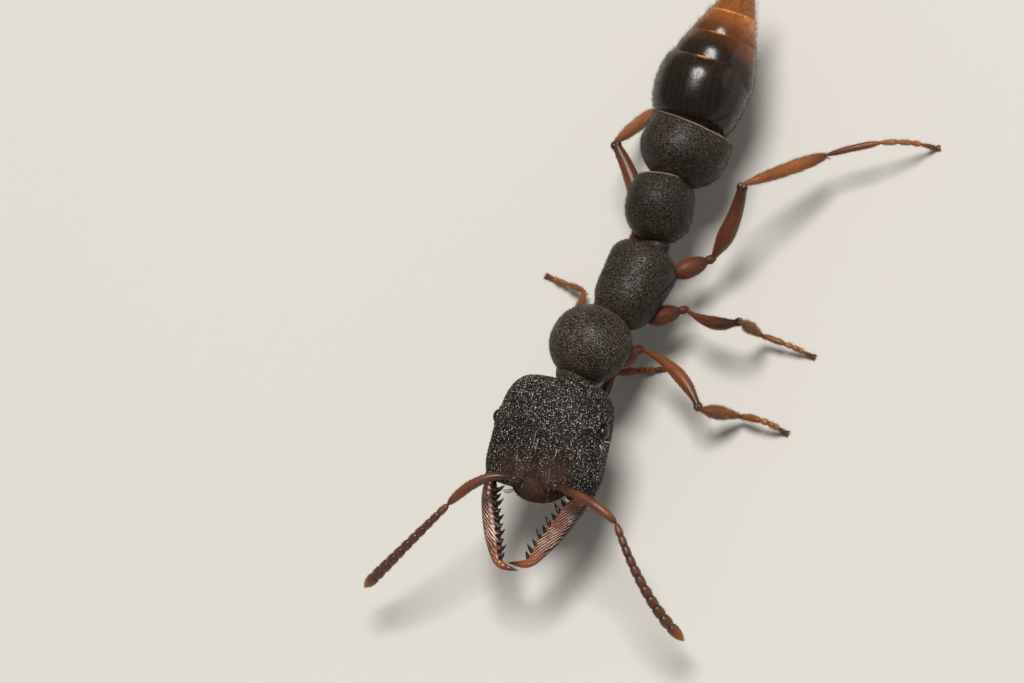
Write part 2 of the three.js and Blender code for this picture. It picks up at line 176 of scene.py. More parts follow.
def between(stations, at):
    """Values between stations, on smooth curves through them."""
    stations = np.array(stations, float)
    places, values = stations[:, 0], stations[:, 1:]
    slopes = np.gradient(values, places, axis=0)
    at = np.clip(at, places[0], places[-1])
    i = np.clip(np.searchsorted(places, at, side="right") - 1, 0, len(places) - 2)
    gap = (places[i + 1] - places[i])[:, None]
    t = (at - places[i])[:, None] / gap
    start, finish = values[i], values[i + 1]
    curve = (2 * t**3 - 3 * t**2 + 1) * start + (3 * t**2 - 2 * t**3) * finish
    return curve + gap * ((t**3 - 2 * t**2 + t) * slopes[i] + (t**3 - t**2) * slopes[i + 1])


def along_curve(points, share):
    """Places and directions on a smooth curve, at even shares of its length.

    With two or three points the middle one only pulls the curve; with more it runs through them.
    """
    points = np.array([tuple(p) for p in points], float)
    top = len(points) - 1

    def place(t):
        if top > 2:
            return between(np.column_stack([np.linspace(0, 1, top + 1), points]), t)
        t = t[:, None]
        return sum(math.comb(top, i) * t**i * (1 - t) ** (top - i) * p for i, p in enumerate(points))

    steps = np.linspace(0, 1, 201)
    gaps = np.linalg.norm(np.diff(place(steps), axis=0), axis=1)
    walked = np.concatenate([[0], np.cumsum(gaps)])
    t = np.interp(np.asarray(share, float) * walked[-1], walked, steps)
    run = place(np.clip(t + 1e-4, 0, 1)) - place(np.clip(t - 1e-4, 0, 1))
    return place(t), run / np.linalg.norm(run, axis=1, keepdims=True)


def length_of(points):
    """The length of such a curve."""
    places, _ = along_curve(points, np.linspace(0, 1, 40))
    return float(np.linalg.norm(np.diff(places, axis=0), axis=1).sum())


# %% The loft
PROFILE_STEPS = 400


def round_sizes(*pairs):
    """Stations for a round part, from pairs of distance and radius."""
    return [(at, radius, radius, -radius) for at, radius in pairs]


def noted(bm):
    """The three layers that a part's vertices note: lie, flow and tint."""
    layers = bm.verts.layers
    wanted = ((layers.float_vector, "lie"), (layers.float_vector, "flow"), (layers.float, "tint"))
    return [kind.get(name) or kind.new(name) for kind, name in wanted]


def power(value, squareness):
    """A signed power, for outlines between a circle and a box."""
    return np.sign(value) * np.abs(value) ** (2 / squareness)


def end_profile(ends, half_length, half_width):
    """How a lofted part closes at both ends, as even steps along its outline."""
    angle = np.linspace(0, math.pi, PROFILE_STEPS)
    squareness = np.where(angle < math.pi / 2, ends[0], ends[1])
    reach = -power(np.cos(angle), squareness)
    cap = power(np.sin(angle), squareness)
    steps = np.hypot(np.diff(reach) * half_length, np.diff(cap) * half_width)
    walked = np.concatenate([[0], np.cumsum(steps)])
    return walked / walked[-1], reach, cap


def loft(bm, path, stations, ends=(3, 3), section=2.0, tint=None):
    """Moves a ball's vertices onto a body that follows a path, and notes lie, flow and tint."""
    co = np.array([vert.co for vert in bm.verts])
    length = stations[-1][0]
    widest = max(station[1] for station in stations)
    walked, reach, cap = end_profile(ends, length / 2, widest)
    share = np.arccos(np.clip(-co[:, 1], -1, 1)) / math.pi
    cap = np.interp(share, walked, cap)
    along = (np.interp(share, walked, reach) + 1) / 2
    size = between(stations, along * length)
    places, direction = along_curve(path, along)
    across = np.cross(direction, UP)
    across /= np.linalg.norm(across, axis=1, keepdims=True)
    above = np.cross(across, direction)
    angle = np.arctan2(co[:, 2], co[:, 0])
    x = cap * size[:, 0] * power(np.cos(angle), section)
    middle, half = (size[:, 1] + size[:, 2]) / 2, (size[:, 1] - size[:, 2]) / 2
    z = middle + cap * half * power(np.sin(angle), section)
    moved = places + across * x[:, None] + above * z[:, None]
    tints = between(tint or [(0, 0), (1, 0)], along)[:, 0]
    lie, flow, shade = noted(bm)
    for vert, place, run, value, *spot in zip(bm.verts, moved, direction, tints, x, along * length, z):
        vert.co = place
        vert[lie] = spot
        vert[flow] = run
        vert[shade] = value
    bm.normal_update()
    return bm


def joined(*parts):
    """Several bmeshes as one, with their layers."""
    whole = bmesh.new()
    carrier = bpy.data.meshes.new("carrier")
    for part in parts:
        part.to_mesh(carrier)
        whole.from_mesh(carrier)
        part.free()
    bpy.data.meshes.remove(carrier)
    return whole


# %% [markdown]
# ## Grain
#
# Under a lens the head is paved with tiny round granules, and the trunk is pricked all over. A
# bump in the material would look right from afar, but the granules catch the light one by one and
# roughen the outline, so they are raised in the mesh itself. They are scattered so that no two
# stand closer than one spacing.

# %% Grain
SWELLS_PER_MM = 3.2
SWELL = 0.008  # no plate is quite even


def scattered(bm, spacing):
    """Vertices picked at random, none nearer to another than the spacing."""
    taken, chosen = {}, []
    places = [vert.co.copy() for vert in bm.verts]
    near = [(i, j, k) for i in (-1, 0, 1) for j in (-1, 0, 1) for k in (-1, 0, 1)]
    for index in chance.permutation(len(places)):
        place = places[index]
        cell = (int(place.x // spacing), int(place.y // spacing), int(place.z // spacing))
        close = (taken.get((cell[0] + i, cell[1] + j, cell[2] + k), ()) for i, j, k in near)
        if all((place - other).length >= spacing for group in close for other in group):
            taken.setdefault(cell, []).append(place)
            chosen.append(place)
    return chosen


def grained(bm, spacing, radius, height, where=None):
    """Raises granules, or sinks pricks, at scattered places. The layer grain is + or - on them."""
    seeds = scattered(bm, spacing)
    strength = chance.uniform(0.3, 1.1, len(seeds))
    tree = kdtree.KDTree(len(seeds))
    for index, seed in enumerate(seeds):
        tree.insert(seed, index)
    tree.balance()
    grain = bm.verts.layers.float.new("grain")
    lie = noted(bm)[0]
    for vert in bm.verts:
        _, index, distance = tree.find(vert.co)
        dome = max(0.0, 1 - (distance / radius) ** 2) * strength[index]
        dome *= where(vert[lie]) if where else 1
        swell = noise.noise(vert.co * SWELLS_PER_MM) * SWELL
        vert[grain] = math.copysign(dome, height)
        vert.co += vert.normal * (height * dome + swell)
    print("  grains", len(seeds))
    return bm


# %% [markdown]
# ## Materials
#
# Insect shell is one horny stuff that runs from amber to black as it thickens. Each finish below
# is a Principled shader of its own, but they share three effects, so those are node groups that
# are built once: a mottle that varies colour, fine pricks, and slanting grooves. They read Object
# coordinates or the layers that the loft noted, so they stay put on the ant from every side.
#
# A shader could be wired up node by node, but its sums are hard to read that way. Here a wire
# from a node's output draws the next math node itself, wherever it is added to or multiplied.

# %% Wires and nodes
def drawn(operation, swapped=False):
    """A sum on a wire that draws its own math node."""
    def method(wire, other=0.0):
        first, second = (other, wire) if swapped else (wire, other)
        return wire.drawing.add("ShaderNodeMath", {0: first, 1: second}, operation=operation)
    return method


class Wire:
    """One output of a node."""

    def __init__(self, drawing, socket):
        self.drawing, self.socket = drawing, socket

    __add__, __sub__, __mul__, __pow__ = map(drawn, ("ADD", "SUBTRACT", "MULTIPLY", "POWER"))
    __rsub__ = drawn("SUBTRACT", swapped=True)
    above, sine = map(drawn, ("MAXIMUM", "SINE"))

    def held(self):
        """The same sum, held between 0 and 1."""
        self.socket.node.use_clamp = True
        return self

    def ranged(self, low, high):
        """A value from 0 to 1 spread between two others."""
        return self.drawing.add("ShaderNodeMapRange", {"Value": self, "To Min": low, "To Max": high})


class Drawing:
    """A node tree that is being drawn."""

    def __init__(self, tree):
        self.tree = tree

    def feed(self, socket, value):
        """Gives an input a wire, a number or a colour."""
        if isinstance(value, Wire):
            self.tree.links.new(value.socket, socket)
        else:
            socket.default_value = (*value, 1.0) if socket.type == "RGBA" else value

    def add(self, kind, inputs=None, *outputs, **settings):
        """A node with its inputs and settings, as a wire from each output that is asked for."""
        node = self.tree.nodes.new(kind)
        for key, value in settings.items():
            setattr(node, key, value)
        for key, value in (inputs or {}).items():
            self.feed(node.inputs[key], value)
        wires = [Wire(self, node.outputs[output]) for output in outputs or (0,)]
        return wires if len(wires) > 1 else wires[0]


def new_group(name, inputs, *outputs):
    """A node group: its drawing, the wires from its inputs, and its outputs to be fed."""
    tree = bpy.data.node_groups.new(name, "ShaderNodeTree")
    for key, value in inputs.items():
        kind = "NodeSocketFloat" if isinstance(value, float) else "NodeSocketVector"
        tree.interface.new_socket(key, in_out="INPUT", socket_type=kind).default_value = value
    for key in outputs:
        tree.interface.new_socket(key, in_out="OUTPUT", socket_type="NodeSocketFloat")
    drawing = Drawing(tree)
    given = tree.nodes.new("NodeGroupInput").outputs
    return drawing, [Wire(drawing, given[key]) for key in inputs], tree.nodes.new("NodeGroupOutput").inputs


# %% The three shared effects
NOWHERE = (0.0, 0.0, 0.0)
MM_PER_METRE = 1 / MM
WANDER = 0.09  # how far grooves stray sideways, in millimetres

mottle, (place, per_mm), put = new_group("mottle", {"Place": NOWHERE, "Per mm": 3.0}, "Value")
clouds = {"Vector": place, "Scale": per_mm * MM_PER_METRE, "Detail": 5.0}
mottle.feed(put["Value"], mottle.add("ShaderNodeTexNoise", clouds, "Fac"))

pricks, (place, per_mm), put = new_group("pricks", {"Place": NOWHERE, "Per mm": 30.0}, "Height", "Pit")
away = pricks.add("ShaderNodeTexVoronoi", {"Vector": place, "Scale": per_mm * MM_PER_METRE}, "Distance")
bowl = {"Value": away, "From Min": 0.12, "From Max": 0.5, "To Min": 1.0, "To Max": 0.0}
pit = pricks.add("ShaderNodeMapRange", bowl)
pricks.feed(put["Pit"], pit)
pricks.feed(put["Height"], 1.0 - pit)

grooves, (lie, per_mm, slant, thin), put = new_group(
    "grooves", {"Lie": NOWHERE, "Per mm": 30.0, "Slant": 1.0, "Thin": 2.5}, "Line")
across, along = grooves.add("ShaderNodeSeparateXYZ", {0: lie}, "X", "Y")
wander = grooves.add("ShaderNodeTexNoise", {"Vector": lie, "Scale": 7.0, "Detail": 2.0}, "Fac")
run = along + across * slant + wander * WANDER
wave = (run * per_mm * (2 * math.pi)).sine()
grooves.feed(put["Line"], ((wave + 1.0) * 0.5) ** thin)
print("effects", [group.name for group in bpy.data.node_groups])


# %% [markdown]
# Every finish reads the tint that the loft noted, from 0 at the darkest to 1 at the palest, and
# turns it into a colour with a ramp. Cloudy mottle shifts the tint a little, so that no stretch
# of shell is one flat colour.

# %% The parts that all finishes share
class Finish(Drawing):
    """A material with a Principled shader."""

    def __init__(self, name):
        self.material = bpy.data.materials.new(name)
        self.material.use_nodes = True
        super().__init__(self.material.node_tree)
        self.place = self.add("ShaderNodeTexCoord", None, "Object")

    def layer(self, name, output="Fac"):
        """A layer that the mesh carries."""
        return self.add("ShaderNodeAttribute", None, output, attribute_name=name)

    def mottled(self, per_mm):
        """The mottle, at so many clouds to the millimetre."""
        inputs = {"Place": self.place, "Per mm": per_mm}
        return self.add("ShaderNodeGroup", inputs, "Value", node_tree=mottle.tree)

    def pricked(self, per_mm):
        """The pricks, at so many to the millimetre: their height and how deep in one a place is."""
        inputs = {"Place": self.place, "Per mm": per_mm}
        return self.add("ShaderNodeGroup", inputs, "Height", "Pit", node_tree=pricks.tree)

    def grooved(self, per_mm, slant, thin=2.5):
        """The grooves, at so many to the millimetre."""
        inputs = {"Lie": self.layer("lie", "Vector"), "Per mm": per_mm, "Slant": slant, "Thin": thin}
        return self.add("ShaderNodeGroup", inputs, "Line", node_tree=grooves.tree)

    def ramp(self, factor, stops):
        """Colours between stops, each a place from 0 to 1 and a colour."""
        colour = self.add("ShaderNodeValToRGB", {"Fac": factor}, "Color")
        elements = colour.socket.node.color_ramp.elements
        while len(elements) < len(stops):
            elements.new(1.0)
        for element, (place, shade) in zip(elements, stops):
            element.position = place
            element.color = (*shade, 1.0)
        return colour

    def toned(self, tint, cloud, amount, stops):
        """The colour of a tint that clouds make a little darker and paler."""
        return self.ramp((tint + (cloud - 0.5) * amount).held(), stops)

    def mixed(self, factor, first, second):
        """Two colours mixed."""
        return self.add("ShaderNodeMix", {0: factor, 6: first, 7: second}, 2, data_type="RGBA")

    def bump(self, height, depth, strength):
        """A bump of a depth in millimetres."""
        return self.add("ShaderNodeBump", {"Height": height, "Distance": depth * MM, "Strength": strength})

    def made(self, colour, rough, **others):
        """The material, with what its shader is fed."""
        shader = self.tree.nodes["Principled BSDF"]
        for key, value in {"Base Color": colour, "Roughness": rough, **others}.items():
            self.feed(shader.inputs[key.replace("_", " ")], value)
        return self.material


# %% [markdown]
# The three pale colours are painted highlights on granule tops, trunk flecks and jaw grooves; the
# stops below are the ant's own colours. The head's granules and the down on the trunk break
# up the light, so there a lower index of refraction takes most of the shine away.

# %% Colours
SHELL_IOR = 1.52
ROUGH_SHELL_IOR = 1.25
# painted highlights: the pale colours of granule tops, trunk flecks and jaw grooves
PAINTED_GRANULE_GLINT = (0.72, 0.65, 0.55)
PAINTED_SPARKLE = (0.34, 0.27, 0.2)
PAINTED_GROOVE_GLINT = (0.78, 0.58, 0.48)
STOPS = {
    "head": [(0.0, (0.003, 0.0024, 0.0018)), (0.5, (0.018, 0.0075, 0.0048)), (1.0, (0.036, 0.0145, 0.0095))],
    "trunk": [(0.0, (0.0062, 0.0052, 0.004)), (0.5, (0.045, 0.025, 0.015)), (1.0, (0.27, 0.2, 0.16))],
    "gaster": [
        (0.0, (0.004, 0.0028, 0.002)), (0.3, (0.018, 0.008, 0.004)), (0.6, (0.12, 0.034, 0.009)),
        (0.85, (0.34, 0.105, 0.018)), (1.0, (0.6, 0.22, 0.04))],
    "jaw": [
        (0.0, (0.006, 0.0035, 0.0028)), (0.35, (0.032, 0.008, 0.004)), (0.7, (0.105, 0.02, 0.006)),
        (1.0, (0.25, 0.07, 0.016))],
    "leg": [
        (0.0, (0.012, 0.006, 0.0045)), (0.25, (0.055, 0.017, 0.01)), (0.5, (0.16, 0.042, 0.016)),
        (0.75, (0.3, 0.092, 0.022)), (1.0, (0.5, 0.22, 0.075))],
    "feeler": [
        (0.0, (0.02, 0.007, 0.0045)), (0.25, (0.05, 0.015, 0.0085)), (0.5, (0.12, 0.036, 0.019)),
        (0.75, (0.27, 0.085, 0.024)), (1.0, (0.52, 0.2, 0.05))],
    "clear": [(0.0, (0.2, 0.09, 0.035)), (0.5, (0.42, 0.23, 0.1)), (1.0, (0.72, 0.6, 0.42))],
}
print("colour ramps", len(STOPS))


# %% Shell finishes
def shell_grained():
    """The head: black between granules, painted highlights on their tops, brown and finely lined in front."""
    finish = Finish("shell_grained")
    grain, tint = finish.layer("grain"), finish.layer("tint")
    _, pit = finish.pricked(42.0)
    ground = finish.toned(tint, finish.mottled(2.2), 0.2, STOPS["head"])
    lined = finish.mixed(finish.grooved(3.0, 13.0) * tint * 0.5, ground, (0.12, 0.07, 0.05))
    # painted highlights: pale specks on the prick centres and the granule tops, of random strength
    painted_specks = pit**2.6 * (1.0 - tint).held()
    glint_mask = (grain.above(0.0) ** 3.0).above(painted_specks)
    glint_strength = finish.mottled(46.0).ranged(-2.9, 3.7) * finish.mottled(3.0).ranged(-0.2, 2.2)
    colour = finish.mixed((glint_mask * glint_strength).held(), lined, PAINTED_GRANULE_GLINT)
    bump = finish.bump(pit, 0.005, 0.7)
    return finish.made(colour, glint_mask.ranged(0.62, 0.28), IOR=ROUGH_SHELL_IOR, Normal=bump)


def shell_downy():
    """The trunk and the plates behind it: matt black, finely pricked, with painted sparkle and painted shade.
    """
    finish = Finish("shell_downy")
    grain, tint, cloud = finish.layer("grain"), finish.layer("tint"), finish.mottled(1.8)
    height, _ = finish.pricked(38.0)
    ground = finish.toned(tint, cloud, 0.2, STOPS["trunk"])
    # painted highlights: sparse pale flecks, strongest on the granule tops, stand for sparkle
    glint_strength = finish.mottled(48.0).ranged(-3.0, 3.7) * finish.mottled(2.0).ranged(0.0, 1.7)
    sparkle = grain.above(0.0) ** 1.4 + 0.2
    with_painted_sparkle = finish.mixed((glint_strength * sparkle).held(), ground, PAINTED_SPARKLE)
    # painted shade: the pricks sunk in the mesh are darkened to near black
    colour = finish.mixed((grain * -0.8).above(0.0), with_painted_sparkle, (0.003, 0.0026, 0.0022))
    bump = finish.bump(height, 0.006, 0.8)
    return finish.made(colour, cloud.ranged(0.28, 0.46), IOR=ROUGH_SHELL_IOR, Normal=bump)


def shell_gloss():
    """The gaster behind its first ring: polished black that clears to amber at the tip and rims."""
    finish = Finish("shell_gloss")
    cloud = finish.mottled(2.5)
    ripple, _ = finish.pricked(22.0)
    ground = finish.toned(finish.layer("tint"), cloud, 0.22, STOPS["gaster"])
    colour = finish.mixed(finish.grooved(1.0, 11.0) * 0.12, ground, (0.06, 0.036, 0.017))
    bump = finish.bump(ripple, 0.0015, 0.35)
    return finish.made(colour, cloud.ranged(0.16, 0.28), IOR=SHELL_IOR, Specular_IOR_Level=0.34, Normal=bump)


def jaw_horn():
    """The mandibles: polished red-brown, slanting grooves painted pale as glints, blackening on teeth and
    tip.
    """
    finish = Finish("jaw_horn")
    cloud, line = finish.mottled(6.0), finish.grooved(12.5, 1.0, 3.2)
    ground = finish.toned(finish.layer("tint"), cloud, 0.3, STOPS["jaw"])
    glint_patches = finish.layer("lined") * finish.mottled(4.0).ranged(-1.2, 2.6)
    # painted highlights: the grooves' pale lines stand for glints on them
    colour = finish.mixed((line * glint_patches).held(), ground, PAINTED_GROOVE_GLINT)
    bump = finish.bump(line, 0.006, 0.9)
    return finish.made(colour, cloud.ranged(0.18, 0.34), IOR=SHELL_IOR, Specular_IOR_Level=0.4, Normal=bump)


def limb_shell(name, stops, smooth, rough, sheen):
    """Legs and feelers: thin shell that lets light through, from dark knees to amber feet."""
    finish = Finish(name)
    cloud = finish.mottled(5.0)
    height, pit = finish.pricked(42.0)
    ground = finish.toned(finish.layer("tint"), cloud, 0.22, STOPS[stops])
    # painted shade: the pits of the fine pricks are darkened
    colour = finish.mixed(pit * 0.35, ground, (0.03, 0.012, 0.007))
    return finish.made(
        colour, cloud.ranged(smooth, rough), IOR=SHELL_IOR, Specular_IOR_Level=sheen,
        Subsurface_Weight=0.12, Subsurface_Radius=(1.0, 0.35, 0.12), Subsurface_Scale=0.06 * MM,
        Normal=finish.bump(height, 0.003, 0.5))


def eye_glass():
    """The eyes: glossy black with a fine honeycomb of facets."""
    finish = Finish("eye_glass")
    _, pit = finish.pricked(75.0)
    colour = finish.mixed(pit, (0.002, 0.002, 0.0025), (0.012, 0.011, 0.011))
    return finish.made(colour, pit.ranged(0.16, 0.06), Normal=finish.bump(pit, 0.003, 0.5))


def hair_horn(name, dark, pale):
    """Hairs: each of a tone of its own between a dark one and a pale one."""
    finish = Finish(name)
    tone = finish.layer("tone")
    colour = finish.toned(tone, finish.mottled(6.0), 0.3, [(0.0, dark), (1.0, pale)])
    return finish.made(colour, tone.ranged(0.5, 0.32), Specular_IOR_Level=0.25)


clear_skin = limb_shell("clear_skin", "clear", 0.22, 0.4, 0.5)
finishes = {
    "granular_black": shell_grained(),
    "downy_black": shell_downy(),
    "gloss_black": shell_gloss(),
    "amber_brown": bpy.data.materials["shell_gloss"],
    "mandible_red": jaw_horn(),
    "antenna_brown": limb_shell("feeler_shell", "feeler", 0.26, 0.44, 0.45),
    "leg_red": limb_shell("leg_shell", "leg", 0.28, 0.46, 0.4),
    "coxa_brown": limb_shell("hip_shell", "leg", 0.38, 0.56, 0.25),
    "eye_black": eye_glass(),
}
print("finishes", len(finishes))

# %% [markdown]
# ## Finishing a piece
#
# A drawn part is still a bmesh in its section's own directions. One function sets it in the row,
# turns millimetres into metres, gives it its finish and hides the solids it stands for.
# It also keeps the skin's triangles, because the hairs are rooted on them later.

# %% Finishing a piece
skins = {}


def numbers(items, key, width, kind=float):
    """One property of many mesh items as rows of numbers."""
    values = np.zeros(len(items) * width, kind)
    items.foreach_get(key, values)
    return values.reshape(-1, width)


def finished(name, bm, section, nodes, slot, finish=None):
    """A drawn part set in the row, with its finish and the solids it stands for.

    A finish is only given where a piece looks unlike the rest of its slot.
    """
    turn = section.to_3x3()
    _, flow, _ = noted(bm)
    for vert in bm.verts:
        vert[flow] = turn @ vert[flow]
    bmesh.ops.transform(bm, matrix=to_row @ section, verts=bm.verts)
    mesh = bpy.data.meshes.new(name)
    bm.to_mesh(mesh)
    bm.free()
    mesh.shade_smooth()
    mesh.materials.append(finish or finishes[slot])
    piece = placed(name, mesh)
    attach(piece, "root")
    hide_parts(*nodes)
    mesh.calc_loop_triangles()
    skins[name] = {
        "place": numbers(mesh.vertices, "co", 3) / MM,
        "normal": numbers(mesh.vertex_normals, "vector", 3),
        "lie": numbers(mesh.attributes["lie"].data, "vector", 3),
        "flow": numbers(mesh.attributes["flow"].data, "vector", 3),
        "faces": numbers(mesh.loop_triangles, "vertices", 3, np.int32),
    }
    print(name, len(mesh.loop_triangles), "triangles")


# %% [markdown]
# ## The head
#
# The head is a box with rounded corners, a little longer than it is wide. In front the clypeus
# pushes out as a low lobe between the jaws, two lobes roof the feeler sockets, and a small tooth
# stands at each front corner. All of these are one fused capsule on the real ant, so they are
# drawn apart, melted into one skin by a voxel remesh, and smoothed where they meet.

# %% The head capsule
HEAD_LENGTH = 1.58
HEAD_HALF_WIDTH = 0.86
HEAD_SETBACK = 0.03  # gap from the neck joint to the back of the head
HEAD_VOXEL = 0.0104
SMOOTHINGS = 9
GRAIN_ROOM = 0.985  # the solid also holds the granules, so the skin under them is a little narrower
# how deep each press on the face is, its middle, and its reach; both halves of the face feel it
RELIEF = {
    "furrow": (0.03, (0, -1.2), (0.032, 0.3)),
    "dimple": (0.03, (0, -1.3), (0.05, 0.05)),
    "hollow": (0.075, (0.44, -1.36), (0.15, 0.23)),
    "ridge": (0.022, (0.1, -1.32), (0.055, 0.2)),
    "nape": (0.03, (0, 0), (0.34, 0.14)),
    "brown": (1, (0, -1.62), (0.44, 0.34)),
    "pale": (1, (0.42, -1.36), (0.15, 0.2)),
}
# spacing, radius and height of the grain on each plate; a height below zero makes pricks
GRANULES = (0.03, 0.0175, 0.009)
FINE_GRANULES = (0.024, 0.012, 0.004)
TRUNK_PRICKS = (0.036, 0.015, -0.005)
PETIOLE_PRICKS = (0.034, 0.014, -0.005)
RING_PRICKS = (0.032, 0.013, -0.0035)


def knob(centre, radii, cells=20):
    """An egg-shaped swelling about a point."""
    bm = even_ball(cells)
    for vert in bm.verts:
        vert.co = Vector(centre) + Vector([c * r for c, r in zip(vert.co, radii)])
    return bm


def melted(bm, voxel):
    """One skin round everything in a bmesh."""
    mesh = bpy.data.meshes.new("melting")
    bm.to_mesh(mesh)
    bm.free()
    holder = placed("melting", mesh)
    remesh = holder.modifiers.new("melt", "REMESH")
    remesh.mode = "VOXEL"
    remesh.voxel_size = voxel
    graph = bpy.context.evaluated_depsgraph_get()
    skin = bpy.data.meshes.new_from_object(holder.evaluated_get(graph))
    whole = bmesh.new()
    whole.from_mesh(skin)
    bpy.data.objects.remove(holder)
    bpy.data.meshes.remove(mesh)
    bpy.data.meshes.remove(skin)
    return whole


def head_capsule():
    """The fused head: box, clypeus, lobes over the sockets and corner teeth."""
    length = HEAD_LENGTH - HEAD_SETBACK
    stations = [
        (0, 0.745, 0.44, -0.42), (0.43, 0.8, 0.5, -0.48), (0.95, HEAD_HALF_WIDTH - 0.02, 0.48, -0.46),
        (1.33, HEAD_HALF_WIDTH, 0.38, -0.4), (length, 0.845, 0.28, -0.32)]
    path = [Vector((0, -HEAD_SETBACK, 0)), Vector((0, -HEAD_LENGTH, 0))]
    box = loft(even_ball(70), path, stations, ends=(5, 8), section=2.5)
    parts = [box, knob((0, -1.44, 0), (0.46, 0.35, 0.15)), knob((0, -1.42, 0.09), (0.4, 0.33, 0.2))]
    for side in (-1, 1):
        parts.append(knob((side * 0.235, -1.4, 0.265), (0.135, 0.255, 0.105)))
        corner = [Vector((side * x, y, 0)) for x, y in ((0.77, -1.44), (0.825, -1.55), (0.855, -1.62))]
        sizes = round_sizes((0, 0.055), (0.1, 0.038), (0.19, 0.01))
        parts.append(loft(slim_ball(12, 10), corner, sizes))
    return melted(joined(*parts), HEAD_VOXEL)


def pressed(place, centre, reach):
    """How much a soft press about a centre is felt at a place, from 0 to 1."""
    gaps = [(p - c) / r for p, c, r in zip(place, centre, reach)]
    return math.exp(-sum(g * g for g in gaps))


def head_relief(bm):
    """The furrow down the face, the hollows beside the sockets, and the notes a loft would make."""
    axes = {f"use_axis_{axis}": True for axis in "xyz"}
    for _ in range(SMOOTHINGS):
        bmesh.ops.smooth_vert(bm, verts=bm.verts, factor=0.5, **axes)
    bm.normal_update()
    lie, flow, tint = noted(bm)
    for vert in bm.verts:
        vert.co.x *= GRAIN_ROOM
        x, y, z = vert.co
        top = max(0.0, vert.normal.z)
        felt = {key: depth * pressed((abs(x), y), *where) for key, (depth, *where) in RELIEF.items()}
        away = math.dist((y, z), EYE_PLACE[1:])
        socket = 0.016 * math.exp(-(((away - 0.125) / 0.022) ** 2)) * (abs(x) > 0.5)
        raised = felt["ridge"] - (felt["furrow"] + felt["dimple"]) - felt["hollow"]
        vert.co += vert.normal * (top * raised + socket)
        vert.co.y -= felt["nape"]
        front = min(1.0, max(0.0, -1.48 - y) / 0.15) * (z > -0.15)
        face = felt["brown"] * max(0.25, top, 0.85 * front)
        vert[tint] = min(1.0, 1.1 * face + 0.5 * (felt["pale"] * top))
        vert[lie] = (x, -y, z)
        vert[flow] = (-0.25 * x, -1, -0.1)
    bm.normal_update()
    return bm


def on_the_head(lie):
    """The granules fade out over clypeus, hollows and eye sockets, which are smoother."""
    x, forward, z = lie
    clypeus = 1.3 * pressed((x, forward), (0, 1.72), (0.42, 0.26))
    hollow = 0.75 * pressed((abs(x), forward), (0.42, 1.38), (0.13, 0.2))
    socket = 1.2 * pressed((forward, z), (-EYE_PLACE[1], EYE_PLACE[2]), (0.1, 0.09)) * (abs(x) > 0.5)
    return 1 - 0.9 * min(1.0, clypeus + hollow + socket)


capsule = grained(head_relief(head_capsule()), *GRANULES, on_the_head)
finished("head_shell", capsule, head, ["head"], "granular_black")

# %% [markdown]
# ## The eyes
#
# An ant's eye is a low dome of facets. These are small, set far back on the sides, and glossy
# black. A flattened ball that sits half in the head is enough of a shape: its honeycomb is in the
# finish, at about seventy facets to the millimetre.

# %% The eyes
def eye(side):
    """A low dome on the side of the head."""
    x, y, z = EYE_PLACE
    path = [Vector((side * (x - 0.022), y + step, z)) for step in (-0.105, 0, 0.105)]
    sizes = [(0, 0.076, 0.09, -0.09), (0.105, 0.078, 0.092, -0.092), (0.21, 0.076, 0.09, -0.09)]
    return loft(even_ball(18), path, sizes, ends=(2, 2))


for side_name, side in (("left", 1), ("right", -1)):
    finished(f"eye_dome_{side_name}", eye(side), head, [f"eye_{side_name}"], "eye_black")

# %% [markdown]
# ## The jaws
#
# Each mandible is a long curved blade, rounded on its outer edge and set with paired teeth on its
# inner one. The blade follows a curve from its hinge to its tip, and each tooth is a small curved
# spike rooted in the blade. The left jaw closes over the right one, as on the real ant.

# %% The jaws
TOOTH_PAIRS = 10
SHORT_TOOTH, LONG_TOOTH = 0.78, 1.08  # pairs of teeth take turns
JAW_HEIGHT = -0.12
JAW_SHARES = (0, 0.2, 0.5, 0.65, 0.78, 0.9, 1)
JAW_TOP = (0.12, 0.105, 0.085, 0.078, 0.07, 0.06, 0.036)
JAW_BOTTOM = (-0.14, -0.125, -0.105, -0.092, -0.078, -0.064, -0.036)
JAWS = {
    "right": {"side": -1, "crossing": -0.035, "widths": (0.1, 0.11, 0.118, 0.104, 0.08, 0.062, 0.036),
              "knots": [(0.79, 1.48), (0.74, 1.79), (0.63, 2.09), (0.505, 2.39), (0.35, 2.67), (0.05, 2.73)]},
    "left": {"side": 1, "crossing": 0.04, "widths": (0.145, 0.152, 0.142, 0.12, 0.09, 0.07, 0.042),
             "knots": [(0.7, 1.5), (0.53, 1.77), (0.39, 2.05), (0.245, 2.33), (0.09, 2.61), (-0.2, 2.66)]},
}


def tooth(root, aim, bend, size, thickness):
    """One broad spike, curved towards the jaw's base."""
    path = [root, root + aim * size * 0.55, root + aim * size + bend * size * 0.22]
    middle = (size * 0.5, thickness * 0.62, thickness * 0.6, -thickness * 0.6)
    sizes = [(0, thickness, thickness, -thickness), middle, (size, 0.003, 0.003, -0.003)]
    return loft(slim_ball(10, 10), path, sizes, ends=(3, 2), tint=[(0, 0.3), (0.3, 0.12), (1, 0.02)])


